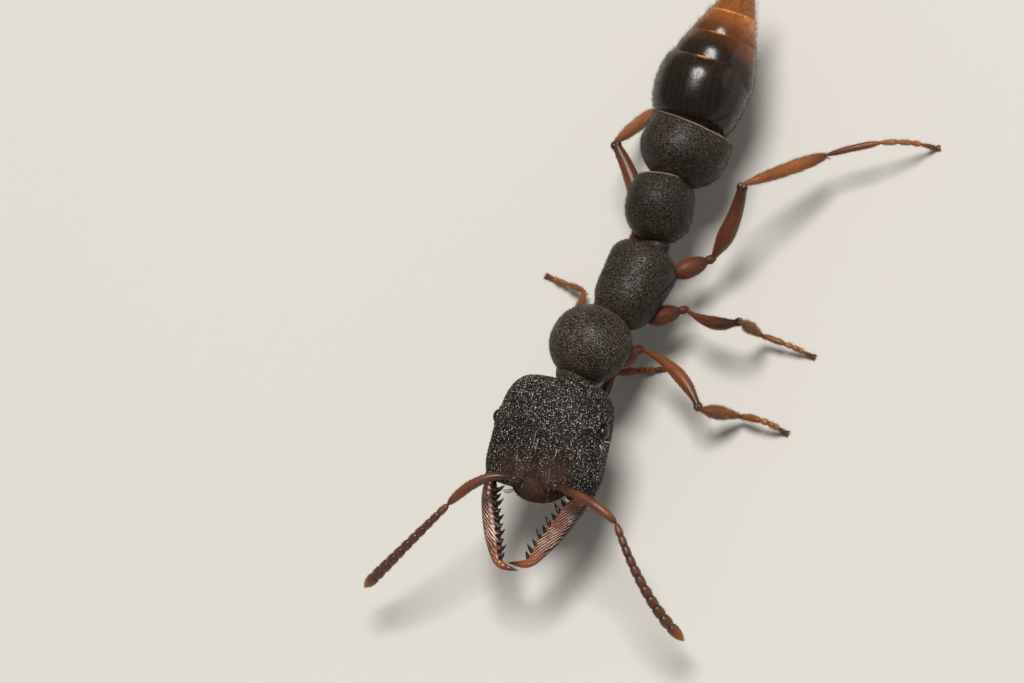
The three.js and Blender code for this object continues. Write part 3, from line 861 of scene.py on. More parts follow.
def jaw(side, crossing, widths, knots):
    """A blade with its teeth."""
    rises = (0, 0, 0, 0.2, 0.7, 1.0)
    path = [Vector((side * x, -y, JAW_HEIGHT + crossing * rise)) for (x, y), rise in zip(knots, rises)]
    length = length_of(path)
    sizes = [(at * length, *size) for at, *size in zip(JAW_SHARES, widths, JAW_TOP, JAW_BOTTOM)]
    shades = [(0, 0.35), (0.15, 0.5), (0.4, 0.65), (0.68, 0.75), (0.84, 1.0), (0.94, 0.5), (1, 0.03)]
    blade = loft(slim_ball(44, 110), path, sizes, ends=(4, 2), section=2.15, tint=shades)
    lined = blade.verts.layers.float.new("lined")
    lie, _, shade = noted(blade)
    for vert in blade.verts:
        x, along, z = vert[lie]
        outer = -side * x / widths[1]
        from_inner = -side * x + float(np.interp(along / length, JAW_SHARES, widths))
        vert[lie] = (1.4 * from_inner + 3.0 * from_inner**2, along, z)
        vert[shade] *= 1 - 0.6 * min(1.0, max(0.0, abs(outer) - 0.55) / 0.4)
        share = along / length
        # where the grooves' painted glints show: the middle of the blade, fading to its edges
        vert[lined] = math.exp(-(((share - 0.46) / 0.26) ** 4)) * max(0.0, 1 - abs(outer) ** 3)
    parts = [blade]
    for pair in range(TOOTH_PAIRS):
        share = pair / (TOOTH_PAIRS - 1)
        for row in (-1, 1):
            at = 0.15 + 0.62 * share + 0.012 * row
            (place,), (ahead,) = along_curve(path, [at])
            ahead = Vector(ahead)
            inward = ahead.cross(UP) * side
            wide = float(np.interp(at, JAW_SHARES, widths))
            turn = SHORT_TOOTH if pair % 2 else LONG_TOOTH
            size = (0.15 - 0.05 * share) * (1.0 + 0.1 * row) * turn * chance.uniform(0.94, 1.06)
            aim = (inward + ahead * (0.14 * row - 0.32) + UP * row * 0.24).normalized()
            root = Vector(place) + inward * (wide * 0.72 - 0.03) + UP * row * 0.036
            parts.append(tooth(root, aim, -ahead, size + 0.03, 0.05 - 0.012 * share))
    return joined(*parts)


for side_name, form in JAWS.items():
    finished(f"jaw_{side_name}", jaw(**form), head, [f"mandible_{side_name}"], "mandible_red")

# %% [markdown]
# The front edge of the clypeus is a thin clear rim with a row of tiny pegs, and a pale bit of skin
# shows beside it at each jaw's hinge. All are too small for the solids, so they stand for none.
# The rim is a flat rod bent along the edge, and the pegs are short blunt spikes set side by side on
# it. Horn this thin is nearly clear, so they get a finish of their own.

# %% The rim of the clypeus
RIM_PEGS = 11


def on_the_rim(degrees, out=0.0):
    """A place on the front edge of the clypeus."""
    angle = math.radians(degrees)
    return Vector(((0.45 + out) * math.cos(angle), -1.44 + (0.342 + out) * math.sin(angle), -0.012))


def clypeus_rim():
    """The clear rim with its pegs, and the pale skin at both hinges."""
    edge = [on_the_rim(degrees) for degrees in range(-148, -31, 9)]
    length = length_of(edge)
    sizes = [(0, 0.008, 0.005, -0.005), (length / 2, 0.016, 0.008, -0.008), (length, 0.008, 0.005, -0.005)]
    parts = [loft(slim_ball(14, 90), edge, sizes, (3, 3), 2.0, [(0, 0.3), (0.5, 0.62), (1, 0.3)])]
    for i in range(RIM_PEGS):
        degrees = -90 + (i - (RIM_PEGS - 1) / 2) * 9.5
        path = [on_the_rim(degrees, -0.01), on_the_rim(degrees, 0.01), on_the_rim(degrees, 0.028)]
        sizes = round_sizes((0, 0.011), (0.02, 0.01), (0.038, 0.005))
        parts.append(loft(slim_ball(8, 6), path, sizes, ends=(3, 2), tint=[(0, 0.2), (1, 0.4)]))
    for side in (-1, 1):
        skin = [Vector((side * x, y, -0.07)) for x, y in ((0.38, -1.62), (0.46, -1.7), (0.55, -1.66))]
        sizes = [(0, 0.02, 0.015, -0.015), (0.1, 0.032, 0.024, -0.024), (0.2, 0.02, 0.015, -0.015)]
        parts.append(loft(slim_ball(12, 12), skin, sizes, (2, 2), 2.0, [(0, 0.95), (1, 0.95)]))
    return joined(*parts)


finished("clypeus_rim", clypeus_rim(), head, [], "amber_brown", clear_skin)

# %% [markdown]
# ## The trunk
#
# The trunk is a neck, a domed pronotum, and a boxy rear half whose back face drops steeply to the
# waist. All are matt and dusted with down, so each gets a fine mesh. Small granules are raised on
# the first two, and the rear half has pricks and only a faint seam sunk into it. The neck gets the
# downy finish, as it is dark and downy like the plates beside it.

# %% The trunk
def rimmed(bm, length, height, width=0.014):
    """Raises a fine lip just before the rear edge of a plate."""
    lie = noted(bm)[0]
    for vert in bm.verts:
        vert.co += vert.normal * height * math.exp(-(((length - vert[lie].y - 0.018) / width) ** 2))
    bm.normal_update()
    return bm


def pronotum():
    """The domed front plate with its collar."""
    length = 1.08
    stations = [
        (0, 0.49, 0.3, -0.36), (0.28, 0.545, 0.4, -0.44), (0.55, 0.57, 0.45, -0.47),
        (0.85, 0.53, 0.42, -0.46), (length, 0.47, 0.36, -0.42)]
    shades = [(0, 0.3), (0.12, 0.12), (0.8, 0.1), (0.9, 0.5), (1, 0.62)]
    bm = loft(even_ball(68), straight(length, (-0.015, TRUNK_FRONT, 0)), stations, (2.8, 2.6), 2.1, shades)
    return grained(bm, *FINE_GRANULES)


def neck():
    """The neck plates under the collar."""
    path = straight(0.72, (0, TRUNK_FRONT - 0.24, -0.14))
    stations = [(0, 0.26, 0.2, -0.2), (0.36, 0.33, 0.26, -0.26), (0.72, 0.26, 0.2, -0.2)]
    bm = loft(even_ball(40), path, stations, (2, 2))
    lie, _, shade = noted(bm)
    for vert in bm.verts:
        vert[shade] = 0.5 * min(1.0, max(0.0, -vert[lie].z - 0.05) / 0.15)
    return grained(bm, *FINE_GRANULES)


def rear_trunk():
    """The rear half, with a faint seam, a groove and a spiracle on each flank."""
    length = 1.18
    stations = [
        (0, 0.4, 0.3, -0.4), (0.3, 0.435, 0.37, -0.48), (0.65, 0.45, 0.42, -0.5),
        (0.95, 0.48, 0.44, -0.48), (length, 0.46, 0.36, -0.42)]
    path = [Vector((0.08, -0.2, 0)), Vector((0.03, -0.2 + length, 0))]
    bm = loft(even_ball(68), path, stations, (3, 5.5), 2.5, [(0, 0.3), (0.12, 0.1), (1, 0.08)])
    lie = noted(bm)[0]
    for vert in bm.verts:
        x, along, z = vert[lie]
        seam = 0.003 * math.exp(-(((along - 0.34 - 0.1 * abs(x)) / 0.02) ** 2)) * (z > -0.2)
        flank = 0.02 * math.exp(-(((z + 0.02 + 0.3 * (along - 0.6)) / 0.035) ** 2)) * (abs(x) > 0.25)
        spiracle = 0.03 * pressed((along, z), (0.86, 0.16), (0.032, 0.032)) * (abs(x) > 0.25)
        dip = 0.02 * pressed((abs(x), along), (0.2, 0.55), (0.1, 0.25)) * (z > 0)
        vert.co -= vert.normal * (seam + flank + spiracle + dip)
    bm.normal_update()
    return grained(bm, *TRUNK_PRICKS)


finished("pronotum_shell", pronotum(), trunk, ["pronotum"], "downy_black")
finished("neck_shell", neck(), trunk, ["neck"], "coxa_brown", finishes["downy_black"])
finished("rear_trunk_shell", rear_trunk(), trunk, ["hind_trunk"], "downy_black")

# %% [markdown]
# ## The waist and the gaster
#
# The petiole is a single rounded node that joins the gaster over its whole rear face, which marks
# this group of ants. The gaster's plates are rings that slide into each other like a telescope.
# Each ring ends in a thin clear rim, so the tint is raised over its last few hundredths; on the
# gaster's rings it turns amber mostly where the key light's highlight crosses the rim, a painted
# glint of light shining through it.

# %% The waist
PETIOLE_LENGTH = 0.91
FIRST_GASTER_LENGTH = 0.92


def petiole():
    """The node with its stalk in front."""
    stations = [
        (0, 0.35, 0.3, -0.4), (0.25, 0.44, 0.44, -0.54), (0.5, 0.46, 0.5, -0.52),
        (0.73, 0.44, 0.46, -0.5), (PETIOLE_LENGTH, 0.38, 0.4, -0.46)]
    shades = [(0, 0.2), (0.2, 0.16), (0.955, 0.2), (0.965, 0.8), (1, 0.9)]
    node = loft(even_ball(64), straight(PETIOLE_LENGTH, (0.01, 0.12, 0)), stations, (2.6, 12), 2.1, shades)
    node = rimmed(node, PETIOLE_LENGTH, 0.008)
    sizes = [(at, 0.2, 0.16, -0.16) for at in (0, 0.24, 0.48)]
    stalk = loft(even_ball(20), straight(0.48, (0.02, -0.16, -0.12)), sizes, (2, 2))
    return grained(joined(node, stalk), *PETIOLE_PRICKS)


def first_ring():
    """The first gaster ring, narrow where it meets the petiole."""
    stations = [
        (0, 0.33, 0.3, -0.38), (0.18, 0.5, 0.46, -0.56), (0.42, 0.595, 0.56, -0.67),
        (0.68, 0.61, 0.56, -0.67), (FIRST_GASTER_LENGTH, 0.58, 0.52, -0.62)]
    shades = [(0, 0.16), (0.2, 0.16), (0.965, 0.2), (0.972, 0.8), (1, 0.95)]
    bm = loft(even_ball(68), straight(FIRST_GASTER_LENGTH), stations, (2.1, 20), 2.0, shades)
    bm = grained(rimmed(bm, FIRST_GASTER_LENGTH, 0.01), *RING_PRICKS)
    lie = noted(bm)[0]
    for vert in bm.verts:
        vert.co.y -= 0.1 * vert[lie].z * (vert[lie].y / FIRST_GASTER_LENGTH) ** 2
    return bm


finished("petiole_shell", petiole(), waist, ["petiole"], "downy_black")
finished("first_ring_shell", first_ring(), ring_1, ["gaster_1"], "downy_black")

# %% The gaster
GASTER_LENGTH = 2.45
GASTER_OUTLINE = [
    (0, 0.54, 0.5, -0.58), (0.25, 0.63, 0.58, -0.66), (0.6, 0.675, 0.64, -0.68),
    (1.0, 0.625, 0.59, -0.6), (1.4, 0.49, 0.49, -0.48), (1.8, 0.33, 0.34, -0.36),
    (2.15, 0.18, 0.19, -0.25), (GASTER_LENGTH, 0.07, 0.05, -0.16)]
# name, start, end, fit inside the ring before it, cells, node, slot,
# tints in front, behind and on the flanks, and the line of its back; the flank tint is a painted
# glow of light shining through the thin flanks
GASTER_RINGS = [
    ("second_ring_shell", 0.0, 1.02, 0.965, 64, "gaster_2", "gloss_black", (0.0, 0.12, 0.26),
     [(0, 0.52), (0.25, 0.61), (0.5, 0.652), (0.7, 0.662), (0.85, 0.645), (0.96, 0.61), (1.02, 0.586)]),
    ("third_ring_shell", 0.62, 1.42, 0.96, 54, "gaster_3", "gloss_black", (0.1, 0.42, 0.4),
     [(0.62, 0.5), (0.8, 0.55), (1.02, 0.563), (1.15, 0.548), (1.26, 0.516), (1.36, 0.475), (1.42, 0.448)]),
    ("fourth_ring_shell", 1.05, 1.78, 0.96, 46, "gaster_4", "amber_brown", (0.5, 0.76, 0.3),
     [(1.05, 0.4), (1.24, 0.44), (1.38, 0.446), (1.48, 0.432), (1.6, 0.398), (1.7, 0.356), (1.78, 0.32)]),
    ("tip_shell", 1.5, GASTER_LENGTH, 0.94, 44, "gaster_tip", "amber_brown", (0.74, 0.88, 0.1),
     [(1.5, 0.34), (1.62, 0.336), (1.78, 0.29), (1.95, 0.235), (2.15, 0.17), (GASTER_LENGTH, 0.05)]),
]
RIM_LEAN = 0.2  # the rear rims lean forward on the back
RING_ASIDE = -0.03  # the second ring sits this far off the middle of the first


def gaster_ring(start, end, fit, cells, shade, back):
    """One ring of the gaster, with a painted glint on its rear rim and a painted glow on its flanks."""
    places = np.linspace(start, end, 9)
    sizes = between(GASTER_OUTLINE, places) * fit
    sizes[:, 1] = between(back, places)[:, 0]
    stations = [(at - start, *size) for at, size in zip(places, sizes)]
    shades = [(0, shade[0]), (0.35, shade[0]), (0.95, shade[1]), (1, shade[1])]
    last = end == GASTER_LENGTH
    ends = (6 if start == 0 else 5, 7 if last else 22)
    aside = RING_ASIDE if start == 0 else 0
    bm = loft(even_ball(cells), straight(end - start, (aside, start, 0)), stations, ends, 2.0, shades)
    lie, _, tint = noted(bm)
    for vert in bm.verts:
        x, along, z = vert[lie]
        share = along / (end - start)
        wide = float(np.interp(along, places - start, sizes[:, 0]))
        rim = min(1.0, max(0.0, share - 0.935) / 0.025) * (not last)
        # painted glint: the rim turns amber in a band across the back where the key light's highlight crosses
        # it
        clear = 0.16 + 0.9 * math.exp(-(((x / wide - 0.2) / 0.2) ** 2)) * (z > 0)
        # painted glow: the flanks are tinted paler, as light shining through the thin shell
        vert[tint] = min(1.0, vert[tint] + shade[2] * (x / wide) ** 4 * share + rim * clear)
    bm = rimmed(bm, end - start, 0.004)
    for vert in bm.verts:
        x, along, z = vert[lie]
        vert.co.y -= RIM_LEAN * z * (along / (end - start)) ** 2 * (not last)
    return bm


def sting():
    """The sting, a fine curved needle at the very tip."""
    path = [Vector(p) for p in ((0, 2.3, -0.1), (0, 2.46, -0.12), (0, 2.63, -0.17))]
    sizes = round_sizes((0, 0.03), (0.2, 0.017), (0.34, 0.003))
    return loft(slim_ball(10, 12), path, sizes, (2.5, 2), 2.0, [(0, 0.85), (1, 0.5)])


for name, start, end, fit, cells, node, slot, shade, back_line in GASTER_RINGS:
    ring = gaster_ring(start, end, fit, cells, shade, back_line)
    if node == "gaster_tip":
        ring = joined(ring, sting())
    finished(name, ring, ring_2, [node], slot)

# %% [markdown]
# ## The feelers
#
# A feeler is a long curved scape that ends in an elbow, and a whip of eleven beads that grow
# stouter towards a pointed orange tip. The scape sits in its socket on a narrow neck. The whip
# could be one wavy rod, but its beads are separate joints, so each bead is a loft of its own.

# %% The feelers
# socket, bend of the scape, elbow, sag of the whip, and tip
FEELERS = {
    "left": (
        (0.36, -1.58, 0.3), (1.1, -1.75, 0.52), (1.37, -1.96, 0.3), (1.98, -2.96, 0.12),
        (2.42, -3.22, -0.52)),
    "right": (
        (-0.26, -1.57, 0.3), (-0.66, -1.55, 0.52), (-1.12, -2.08, 0.3), (-1.75, -2.83, 0.1),
        (-2.37, -3.26, -0.45)),
}
BEADS = 11
# share of the length and share of the radius along a bead, and its tints
BEAD = ((0, 0.8), (0.22, 0.94), (0.6, 1.0), (0.85, 0.95), (1, 0.8))
BEAD_SHADES = [(0, 0.14), (0.3, 0.34), (0.7, 0.42), (1, 0.16)]
FIRST_BEAD = ((0, 0.74), (0.3, 0.92), (0.65, 1.04), (1, 0.82))
FIRST_SHADES = [(0, 0.36), (0.5, 0.58), (1, 0.3)]
LAST_BEAD = ((0, 0.86), (0.2, 0.97), (0.5, 0.88), (0.8, 0.6), (1, 0.25))
LAST_SHADES = [(0, 0.3), (0.4, 0.62), (1, 0.95)]


def rod(path, girth, profile, shades, sides=24, rings=36, ends=(3, 3)):
    """A round joint whose radius is a profile of shares of its girth."""
    length = length_of(path)
    sizes = round_sizes(*[(at * length, share * girth) for at, share in profile])
    return loft(slim_ball(sides, rings), path, sizes, ends, 2.0, shades)


def scape(socket, bend, elbow):
    """The first long joint, with the ball of its socket."""
    path = [Vector(socket), Vector(bend), Vector(elbow)]
    profile = ((0, 0.05), (0.08, 0.043), (0.2, 0.052), (0.5, 0.064), (0.85, 0.069), (0.95, 0.064), (1, 0.052))
    shades = [(0, 0.02), (0.12, 0.12), (0.3, 0.4), (0.7, 0.52), (0.93, 0.5), (1, 0.3)]
    stem = rod(path, 1, profile, shades, 28, 64)
    centre, out = path[0], Vector((0, 0.05, -0.03))
    ball_sizes = round_sizes((0, 0.045), (0.05, 0.05), (0.1, 0.045))
    return joined(stem, loft(even_ball(10), [centre + out, centre, centre - out], ball_sizes, (2, 2)))


def whip(elbow, sag, tip):
    """Eleven close beads from the elbow to the tip."""
    path = [Vector(elbow), Vector(sag), Vector(tip)]
    weights = np.linspace(0.95, 1.15, BEADS)
    weights[0], weights[-1] = 1.3, 2.1
    marks = np.concatenate([[0], np.cumsum(weights)]) / weights.sum()
    parts = []
    for bead in range(BEADS):
        start, end = marks[bead], marks[bead + 1]
        last = bead == BEADS - 1
        places, _ = along_curve(path, (start - 0.01 * (bead > 0), (start + end) / 2, min(1, end + 0.01)))
        length = float(np.linalg.norm(places[2] - places[0]))
        radius = 0.05 + 0.032 * (bead / (BEADS - 1))
        profile, shades = (FIRST_BEAD, FIRST_SHADES) if bead == 0 else (BEAD, BEAD_SHADES)
        if last:
            profile, shades = LAST_BEAD, LAST_SHADES
        sizes = round_sizes(*[(at * length, part * radius) for at, part in profile])
        ends = (3.2, 2.1) if last else (3.2, 3.6)
        parts.append(loft(slim_ball(20, 18), [Vector(p) for p in places], sizes, ends, 2.0, shades))
    return joined(*parts)


for side_name, form in FEELERS.items():
    stem, beads = scape(*form[:3]), whip(*form[2:])
    finished(f"scape_rod_{side_name}", stem, head, [f"scape_{side_name}"], "antenna_brown")
    finished(f"whip_beads_{side_name}", beads, head, [f"flagellum_{side_name}"], "antenna_brown")

# %% [markdown]
# ## The legs
#
# Each leg has a stout coxa at the trunk, a small trochanter, a swollen femur, a tibia with a spur,
# and a tarsus of five joints that ends in two claws. All six are built by one function from the
# same knots as the solids: lengths for each pair, and a bearing and a lift for each joint.

# %% The stance of the legs
TOE_HEIGHT = 0.05
# seat on the trunk, then the lengths of coxa, femur, tibia and tarsus
LEG_PAIRS = {
    "front": ((0.3, -0.6, -0.3), (0.52, 1.32, 0.72, 0.7)),
    "mid": ((0.33, 0.15, -0.38), (0.58, 1.05, 0.78, 0.8)),
    "hind": ((0.31, 0.9, -0.36), (0.62, 1.2, 1.38, 1.6)),
}
# bearing and lift of coxa, femur and tibia, then the bearing of the tarsus and the bow of the femur
LEG_STANCE = {
    "front_left": ((161, -44), (61, 0), (119, -52), 87, (0.06, 0.12, 0)),
    "mid_left": ((132, -24), (85, 18), (166, -81), 86, (0.03, -0.09, -0.04)),
    "hind_left": ((137, -19), (159, 35), (142, -30), 119, (0.06, 0.01, -0.02)),
    "front_right": ((-153, -20), (20, -24), (175, -12), 116, (-0.06, 0, 0)),
    "mid_right": ((170, -35), (-36, -7), (-164, -20), -102, (-0.05, 0, 0)),
    "hind_right": ((-167, -8), (-144, 16), (-177, -46), 172, (0.05, 0.03, 0)),
}


def heading(bearing, lift):
    """A direction: bearing 0 is ahead and 90 to the ant's left, lift is above level."""
    level = math.cos(math.radians(lift))
    turn = math.radians(bearing)
    return Vector((math.sin(turn) * level, -math.cos(turn) * level, math.sin(math.radians(lift))))


def leg_knots(pair_name, side_name):
    """Where a leg's joints are, from its seat on the trunk to its toe."""
    (x, y, z), lengths = LEG_PAIRS[pair_name]
    *headings, foot_bearing, _ = LEG_STANCE[f"{pair_name}_{side_name}"]
    side = 1 if side_name == "left" else -1
    knots = [trunk @ Vector((side * x, y, z))]
    for way, length in zip(headings, lengths):
        knots.append(knots[-1] + heading(*way) * length)
    drop = math.degrees(math.asin((TOE_HEIGHT - knots[-1].z) / lengths[-1]))
    knots.append(knots[-1] + heading(foot_bearing, drop) * lengths[-1])
    return knots


# %% The joints of a leg
# radius of coxa, femur, tibia and tarsus where each is stoutest
LEG_GIRTH = {
    "front": (0.15, 0.094, 0.088, 0.048),
    "mid": (0.132, 0.092, 0.072, 0.042),
    "hind": (0.138, 0.121, 0.092, 0.047),
}
SLIM_THIGH = [
    (0, 0.4), (0.12, 0.42), (0.32, 0.72), (0.55, 1.0), (0.72, 0.9), (0.86, 0.66), (0.94, 0.64), (1, 0.6)]
STOUT_THIGH = [
    (0, 0.5), (0.1, 0.66), (0.3, 1.0), (0.5, 0.93), (0.7, 0.8), (0.88, 0.74), (0.96, 0.74), (1, 0.66)]
THIGH_SHADES = {
    "front": [(0, 0.42), (0.3, 0.55), (0.7, 0.52), (0.88, 0.34), (0.96, 0.14), (1, 0.1)],
    "mid": [(0, 0.4), (0.35, 0.44), (0.6, 0.34), (0.8, 0.16), (1, 0.06)],
    "hind": [(0, 0.42), (0.25, 0.4), (0.6, 0.34), (0.82, 0.28), (0.93, 0.18), (1, 0.1)],
    "hind_right": [(0, 0.56), (0.3, 0.5), (0.7, 0.38), (0.93, 0.22), (1, 0.12)],
    # the right front thigh runs under the head; its dark tint is painted shade
    "front_right": [(0, 0.1), (0.5, 0.16), (1, 0.08)],
}
# the shins of the hind pair, and those of the others
HIND_SHIN = [(0, 0.45), (0.06, 0.48), (0.22, 0.74), (0.5, 0.95), (0.8, 1.0), (0.93, 0.92), (1, 0.8)]
HIND_SHADES = [(0, 0.3), (0.06, 0.5), (0.35, 0.7), (0.75, 0.66), (0.93, 0.4), (1, 0.25)]
SHIN = [(0, 0.42), (0.07, 0.42), (0.35, 0.98), (0.55, 1.0), (0.85, 0.62), (1, 0.56)]
SHIN_SHADES = [(0.1, 0.42), (0.4, 0.52), (0.8, 0.62), (1, 0.6)]
# the right front shin lies in the head's shadow; this darkening is painted shade
SHIN_PAINTED_SHADE = {"front_right": 0.34}
FOOT_ARCH = {"front_left": 0.34, "mid_left": 0.12, "hind_left": 0.6}  # a foot's middle is pulled up


def coxa(start, end, girth):
    """The stout hip joint, with the small trochanter at its end."""
    run = (end - start).normalized()
    profile = [(0, 0.66), (0.35, 1.0), (0.7, 0.9), (0.9, 0.68), (1, 0.5)]
    shades = [(0, 0.42), (0.6, 0.34), (1, 0.18)]
    hip = rod([start, start.lerp(end, 0.5), end - run * 0.06], girth, profile, shades)
    ring = rod([end - run * 0.12, end - run * 0.02, end + run * 0.06], girth * 0.46,
               [(0, 0.8), (0.5, 1.0), (1, 0.8)], [(0, 0.3), (1, 0.38)], 20, 14, (2.4, 2.4))
    return joined(hip, ring)


def femur(start, end, girth, bow, profile, shades):
    """The swollen thigh, thin at its root, with the two low lobes of the knee."""
    bend = start.lerp(end, 0.5) + Vector(bow) * 2
    run = (end - bend).normalized()
    parts = [rod([start, bend, end], girth, profile, shades, rings=60)]
    across = run.cross(UP).normalized()
    for side in (-1, 1):
        lobe = end + across * side * girth * 0.22
        path = [lobe - run * 0.13, lobe - run * 0.05, lobe + run * 0.025]
        knee, knee_shades = [(0, 0.5), (0.6, 1.0), (1, 0.8)], [(0, 0.12), (0.6, 0.08), (1, 0.4)]
        parts.append(rod(path, girth * 0.46, knee, knee_shades, 14, 10, (2.4, 2.4)))
    return joined(*parts)


def tibia(start, end, girth, profile, shades):
    """The shin, thin at the knee and swollen beyond it, with its spur."""
    run = (end - start).normalized()
    shin = rod([start - run * 0.04, start.lerp(end, 0.5), end], girth, profile, shades, rings=50)
    aside = run.cross(UP).normalized()
    root = end - run * 0.06
    path = [root, root + (run * 0.35 - UP * 0.9 + aside * 0.1).normalized() * 0.1,
            root + (run * 0.6 - UP * 0.9 + aside * 0.1).normalized() * 0.19]
    spur = rod(path, 0.013, [(0, 1.0), (0.5, 0.7), (1, 0.15)], [(0, 0.6), (1, 0.9)], 8, 8, (2.4, 2))
    return joined(shin, spur)


# %% [markdown]
# A foot is five joints on one arched line, with two claws and a soft pad between them. The real
# pad spreads where it bears, so whatever would sink below the floor is pressed flat on it.

# %% The feet
TARSUS_JOINTS = (0.46, 0.15, 0.12, 0.09, 0.18)
SOLE = 0.032  # middle of the last foot joint above the floor
FOOT_PROFILE = [(0, 0.86), (0.25, 0.9), (0.8, 1.0), (1, 0.86)]
FOOT_SHADES = [(0, 0.68), (0.8, 0.8), (1, 0.7)]
TOE_PROFILE = [(0, 0.5), (0.6, 0.8), (1, 1.0)]
TOE_SHADES = [(0, 0.6), (0.5, 0.4), (1, 0.28)]


def tarsus(start, end, girth, arch, first_shade):
    """Five foot joints, two claws and the pad, standing on the floor."""
    run = Vector((end.x - start.x, end.y - start.y, 0)).normalized()
    end = Vector((end.x, end.y, SOLE)) - run * 0.06
    path = [start, start.lerp(end, 0.68) + UP * arch, end]
    marks = np.concatenate([[0], np.cumsum(TARSUS_JOINTS)])
    parts = []
    for i in range(len(TARSUS_JOINTS)):
        shares = [marks[i], (marks[i] + marks[i + 1]) / 2, min(1.0, marks[i + 1] + 0.008)]
        places, _ = along_curve(path, shares)
        thick, profile, shades, rings = girth * 0.86, FOOT_PROFILE, FOOT_SHADES, 18
        if i == 0:
            thick, shades, rings = girth, [(0, first_shade), (0.6, first_shade + 0.08), (1, 0.7)], 30
        if i == len(TARSUS_JOINTS) - 1:
            profile, shades = TOE_PROFILE, TOE_SHADES
        parts.append(rod([Vector(p) for p in places], thick, profile, shades, 18, rings))
    aside = run.cross(UP)
    for side in (-1, 1):
        root = end + aside * side * 0.016 - run * 0.015
        knuckle = end + run * 0.055 + aside * side * 0.03 + UP * 0.012
        claw_tip = Vector((end.x, end.y, 0.006)) + run * 0.065 + aside * side * 0.04
        claw, claw_shades = [(0, 1.0), (0.6, 0.7), (1, 0.2)], [(0, 0.25), (1, 0.05)]
        parts.append(rod([root, knuckle, claw_tip], 0.015, claw, claw_shades, 8, 10, (2.4, 2)))
    pad = end + run * 0.025 - UP * 0.014
    parts.append(rod([pad - run * 0.035, pad, pad + run * 0.035], 0.026, [(0, 0.8), (0.5, 1), (1, 0.8)],
                     [(0, 0.5), (1, 0.6)], 10, 8, (2, 2)))
    foot = joined(*parts)
    for vert in foot.verts:
        vert.co.z = max(0.0, vert.co.z)
    return foot


# %% Six legs
here = Matrix.Identity(4)
for side_name in ("left", "right"):
    for pair_name in LEG_PAIRS:
        leg, hind = f"{pair_name}_{side_name}", pair_name == "hind"
        seat, root, knee, ankle, toe = leg_knots(pair_name, side_name)
        hip_girth, thigh_girth, shin_girth, foot_girth = LEG_GIRTH[pair_name]
        thigh, shin = (STOUT_THIGH, HIND_SHIN) if hind else (SLIM_THIGH, SHIN)
        thigh_shades = THIGH_SHADES.get(leg, THIGH_SHADES[pair_name])
        # a shin under the head is painted darker as shade
        darker = SHIN_PAINTED_SHADE.get(leg, 0.0)
        shin_shades = [(0, 0.2)] + [(at, shade - darker) for at, shade in SHIN_SHADES]
        bow, arch = LEG_STANCE[leg][-1], FOOT_ARCH.get(leg, 0.0)
        joints = {
            "hip": ("coxa", coxa(seat, root, hip_girth)),
            "thigh": ("femur", femur(root, knee, thigh_girth, bow, thigh, thigh_shades)),
            "shin": ("tibia", tibia(knee, ankle, shin_girth, shin, HIND_SHADES if hind else shin_shades)),
            "foot": ("tarsus", tarsus(ankle, toe, foot_girth, arch, 0.42 if hind else 0.6)),
        }
        for part, (node, bm) in joints.items():
            slot = "coxa_brown" if part == "hip" else "leg_red"
            finished(f"{leg}_{part}", bm, here, [f"leg_{leg}_{node}"], slot)

# %% [markdown]
# ## The hairs
#
# The whole ant wears a fine dark down that turns gold over gaster and legs, with a few pale
# bristles on the jaws and the face. Hair systems don't survive the export, so each hair is a thin
# curved spike of ten triangles. Thousands of them are worked out together as arrays, each rooted
# on a skin and leaning the way that skin's flow says.

# %% One coat
HAIR_FACES = [(0, 2, 1), (0, 1, 4, 3), (1, 2, 5, 4), (2, 0, 3, 5), (3, 4, 6), (4, 5, 6), (5, 3, 6)]
HAIR_CORNERS = [(0, 0), (0.5, 0), (1, 0), (0, 0.5), (0.5, 0.5), (1, 0.5), (0.5, 1)]
HAIR_POINTS = len(HAIR_CORNERS)
HAIR_TRIANGLES = 10
DROOP = 0.3  # how far a hair's middle bows away from the skin
PATCH = 0.003  # width of one hair's patch on the coat's map
FLOOR_GAP = 0.004  # a hair that would come nearer to the floor is left out


def unit(rows):
    """Rows of directions made one long."""
    return rows / np.maximum(np.linalg.norm(rows, axis=1, keepdims=True), 1e-9)


def roots_on(skin, count, where):
    """Places picked evenly over a skin, with their normal, flow and lie."""
    corners = skin["faces"]
    a, b, c = (skin["place"][corners[:, i]] for i in range(3))
    area = np.linalg.norm(np.cross(b - a, c - a), axis=1)
    centre = (skin["lie"][corners[:, 0]] + skin["lie"][corners[:, 1]] + skin["lie"][corners[:, 2]]) / 3
    weight = area * (where(centre) if where else 1.0)
    pick = chance.choice(len(corners), count, p=weight / weight.sum())
    u, v = chance.random((2, count))
    over = u + v > 1
    u, v = np.where(over, 1 - u, u), np.where(over, 1 - v, v)

    def blend(key):
        rows = skin[key][corners[pick]]
        return rows[:, 0] + (rows[:, 1] - rows[:, 0]) * u[:, None] + (rows[:, 2] - rows[:, 0]) * v[:, None]

    return blend("place"), unit(blend("normal")), unit(blend("flow")), blend("lie")


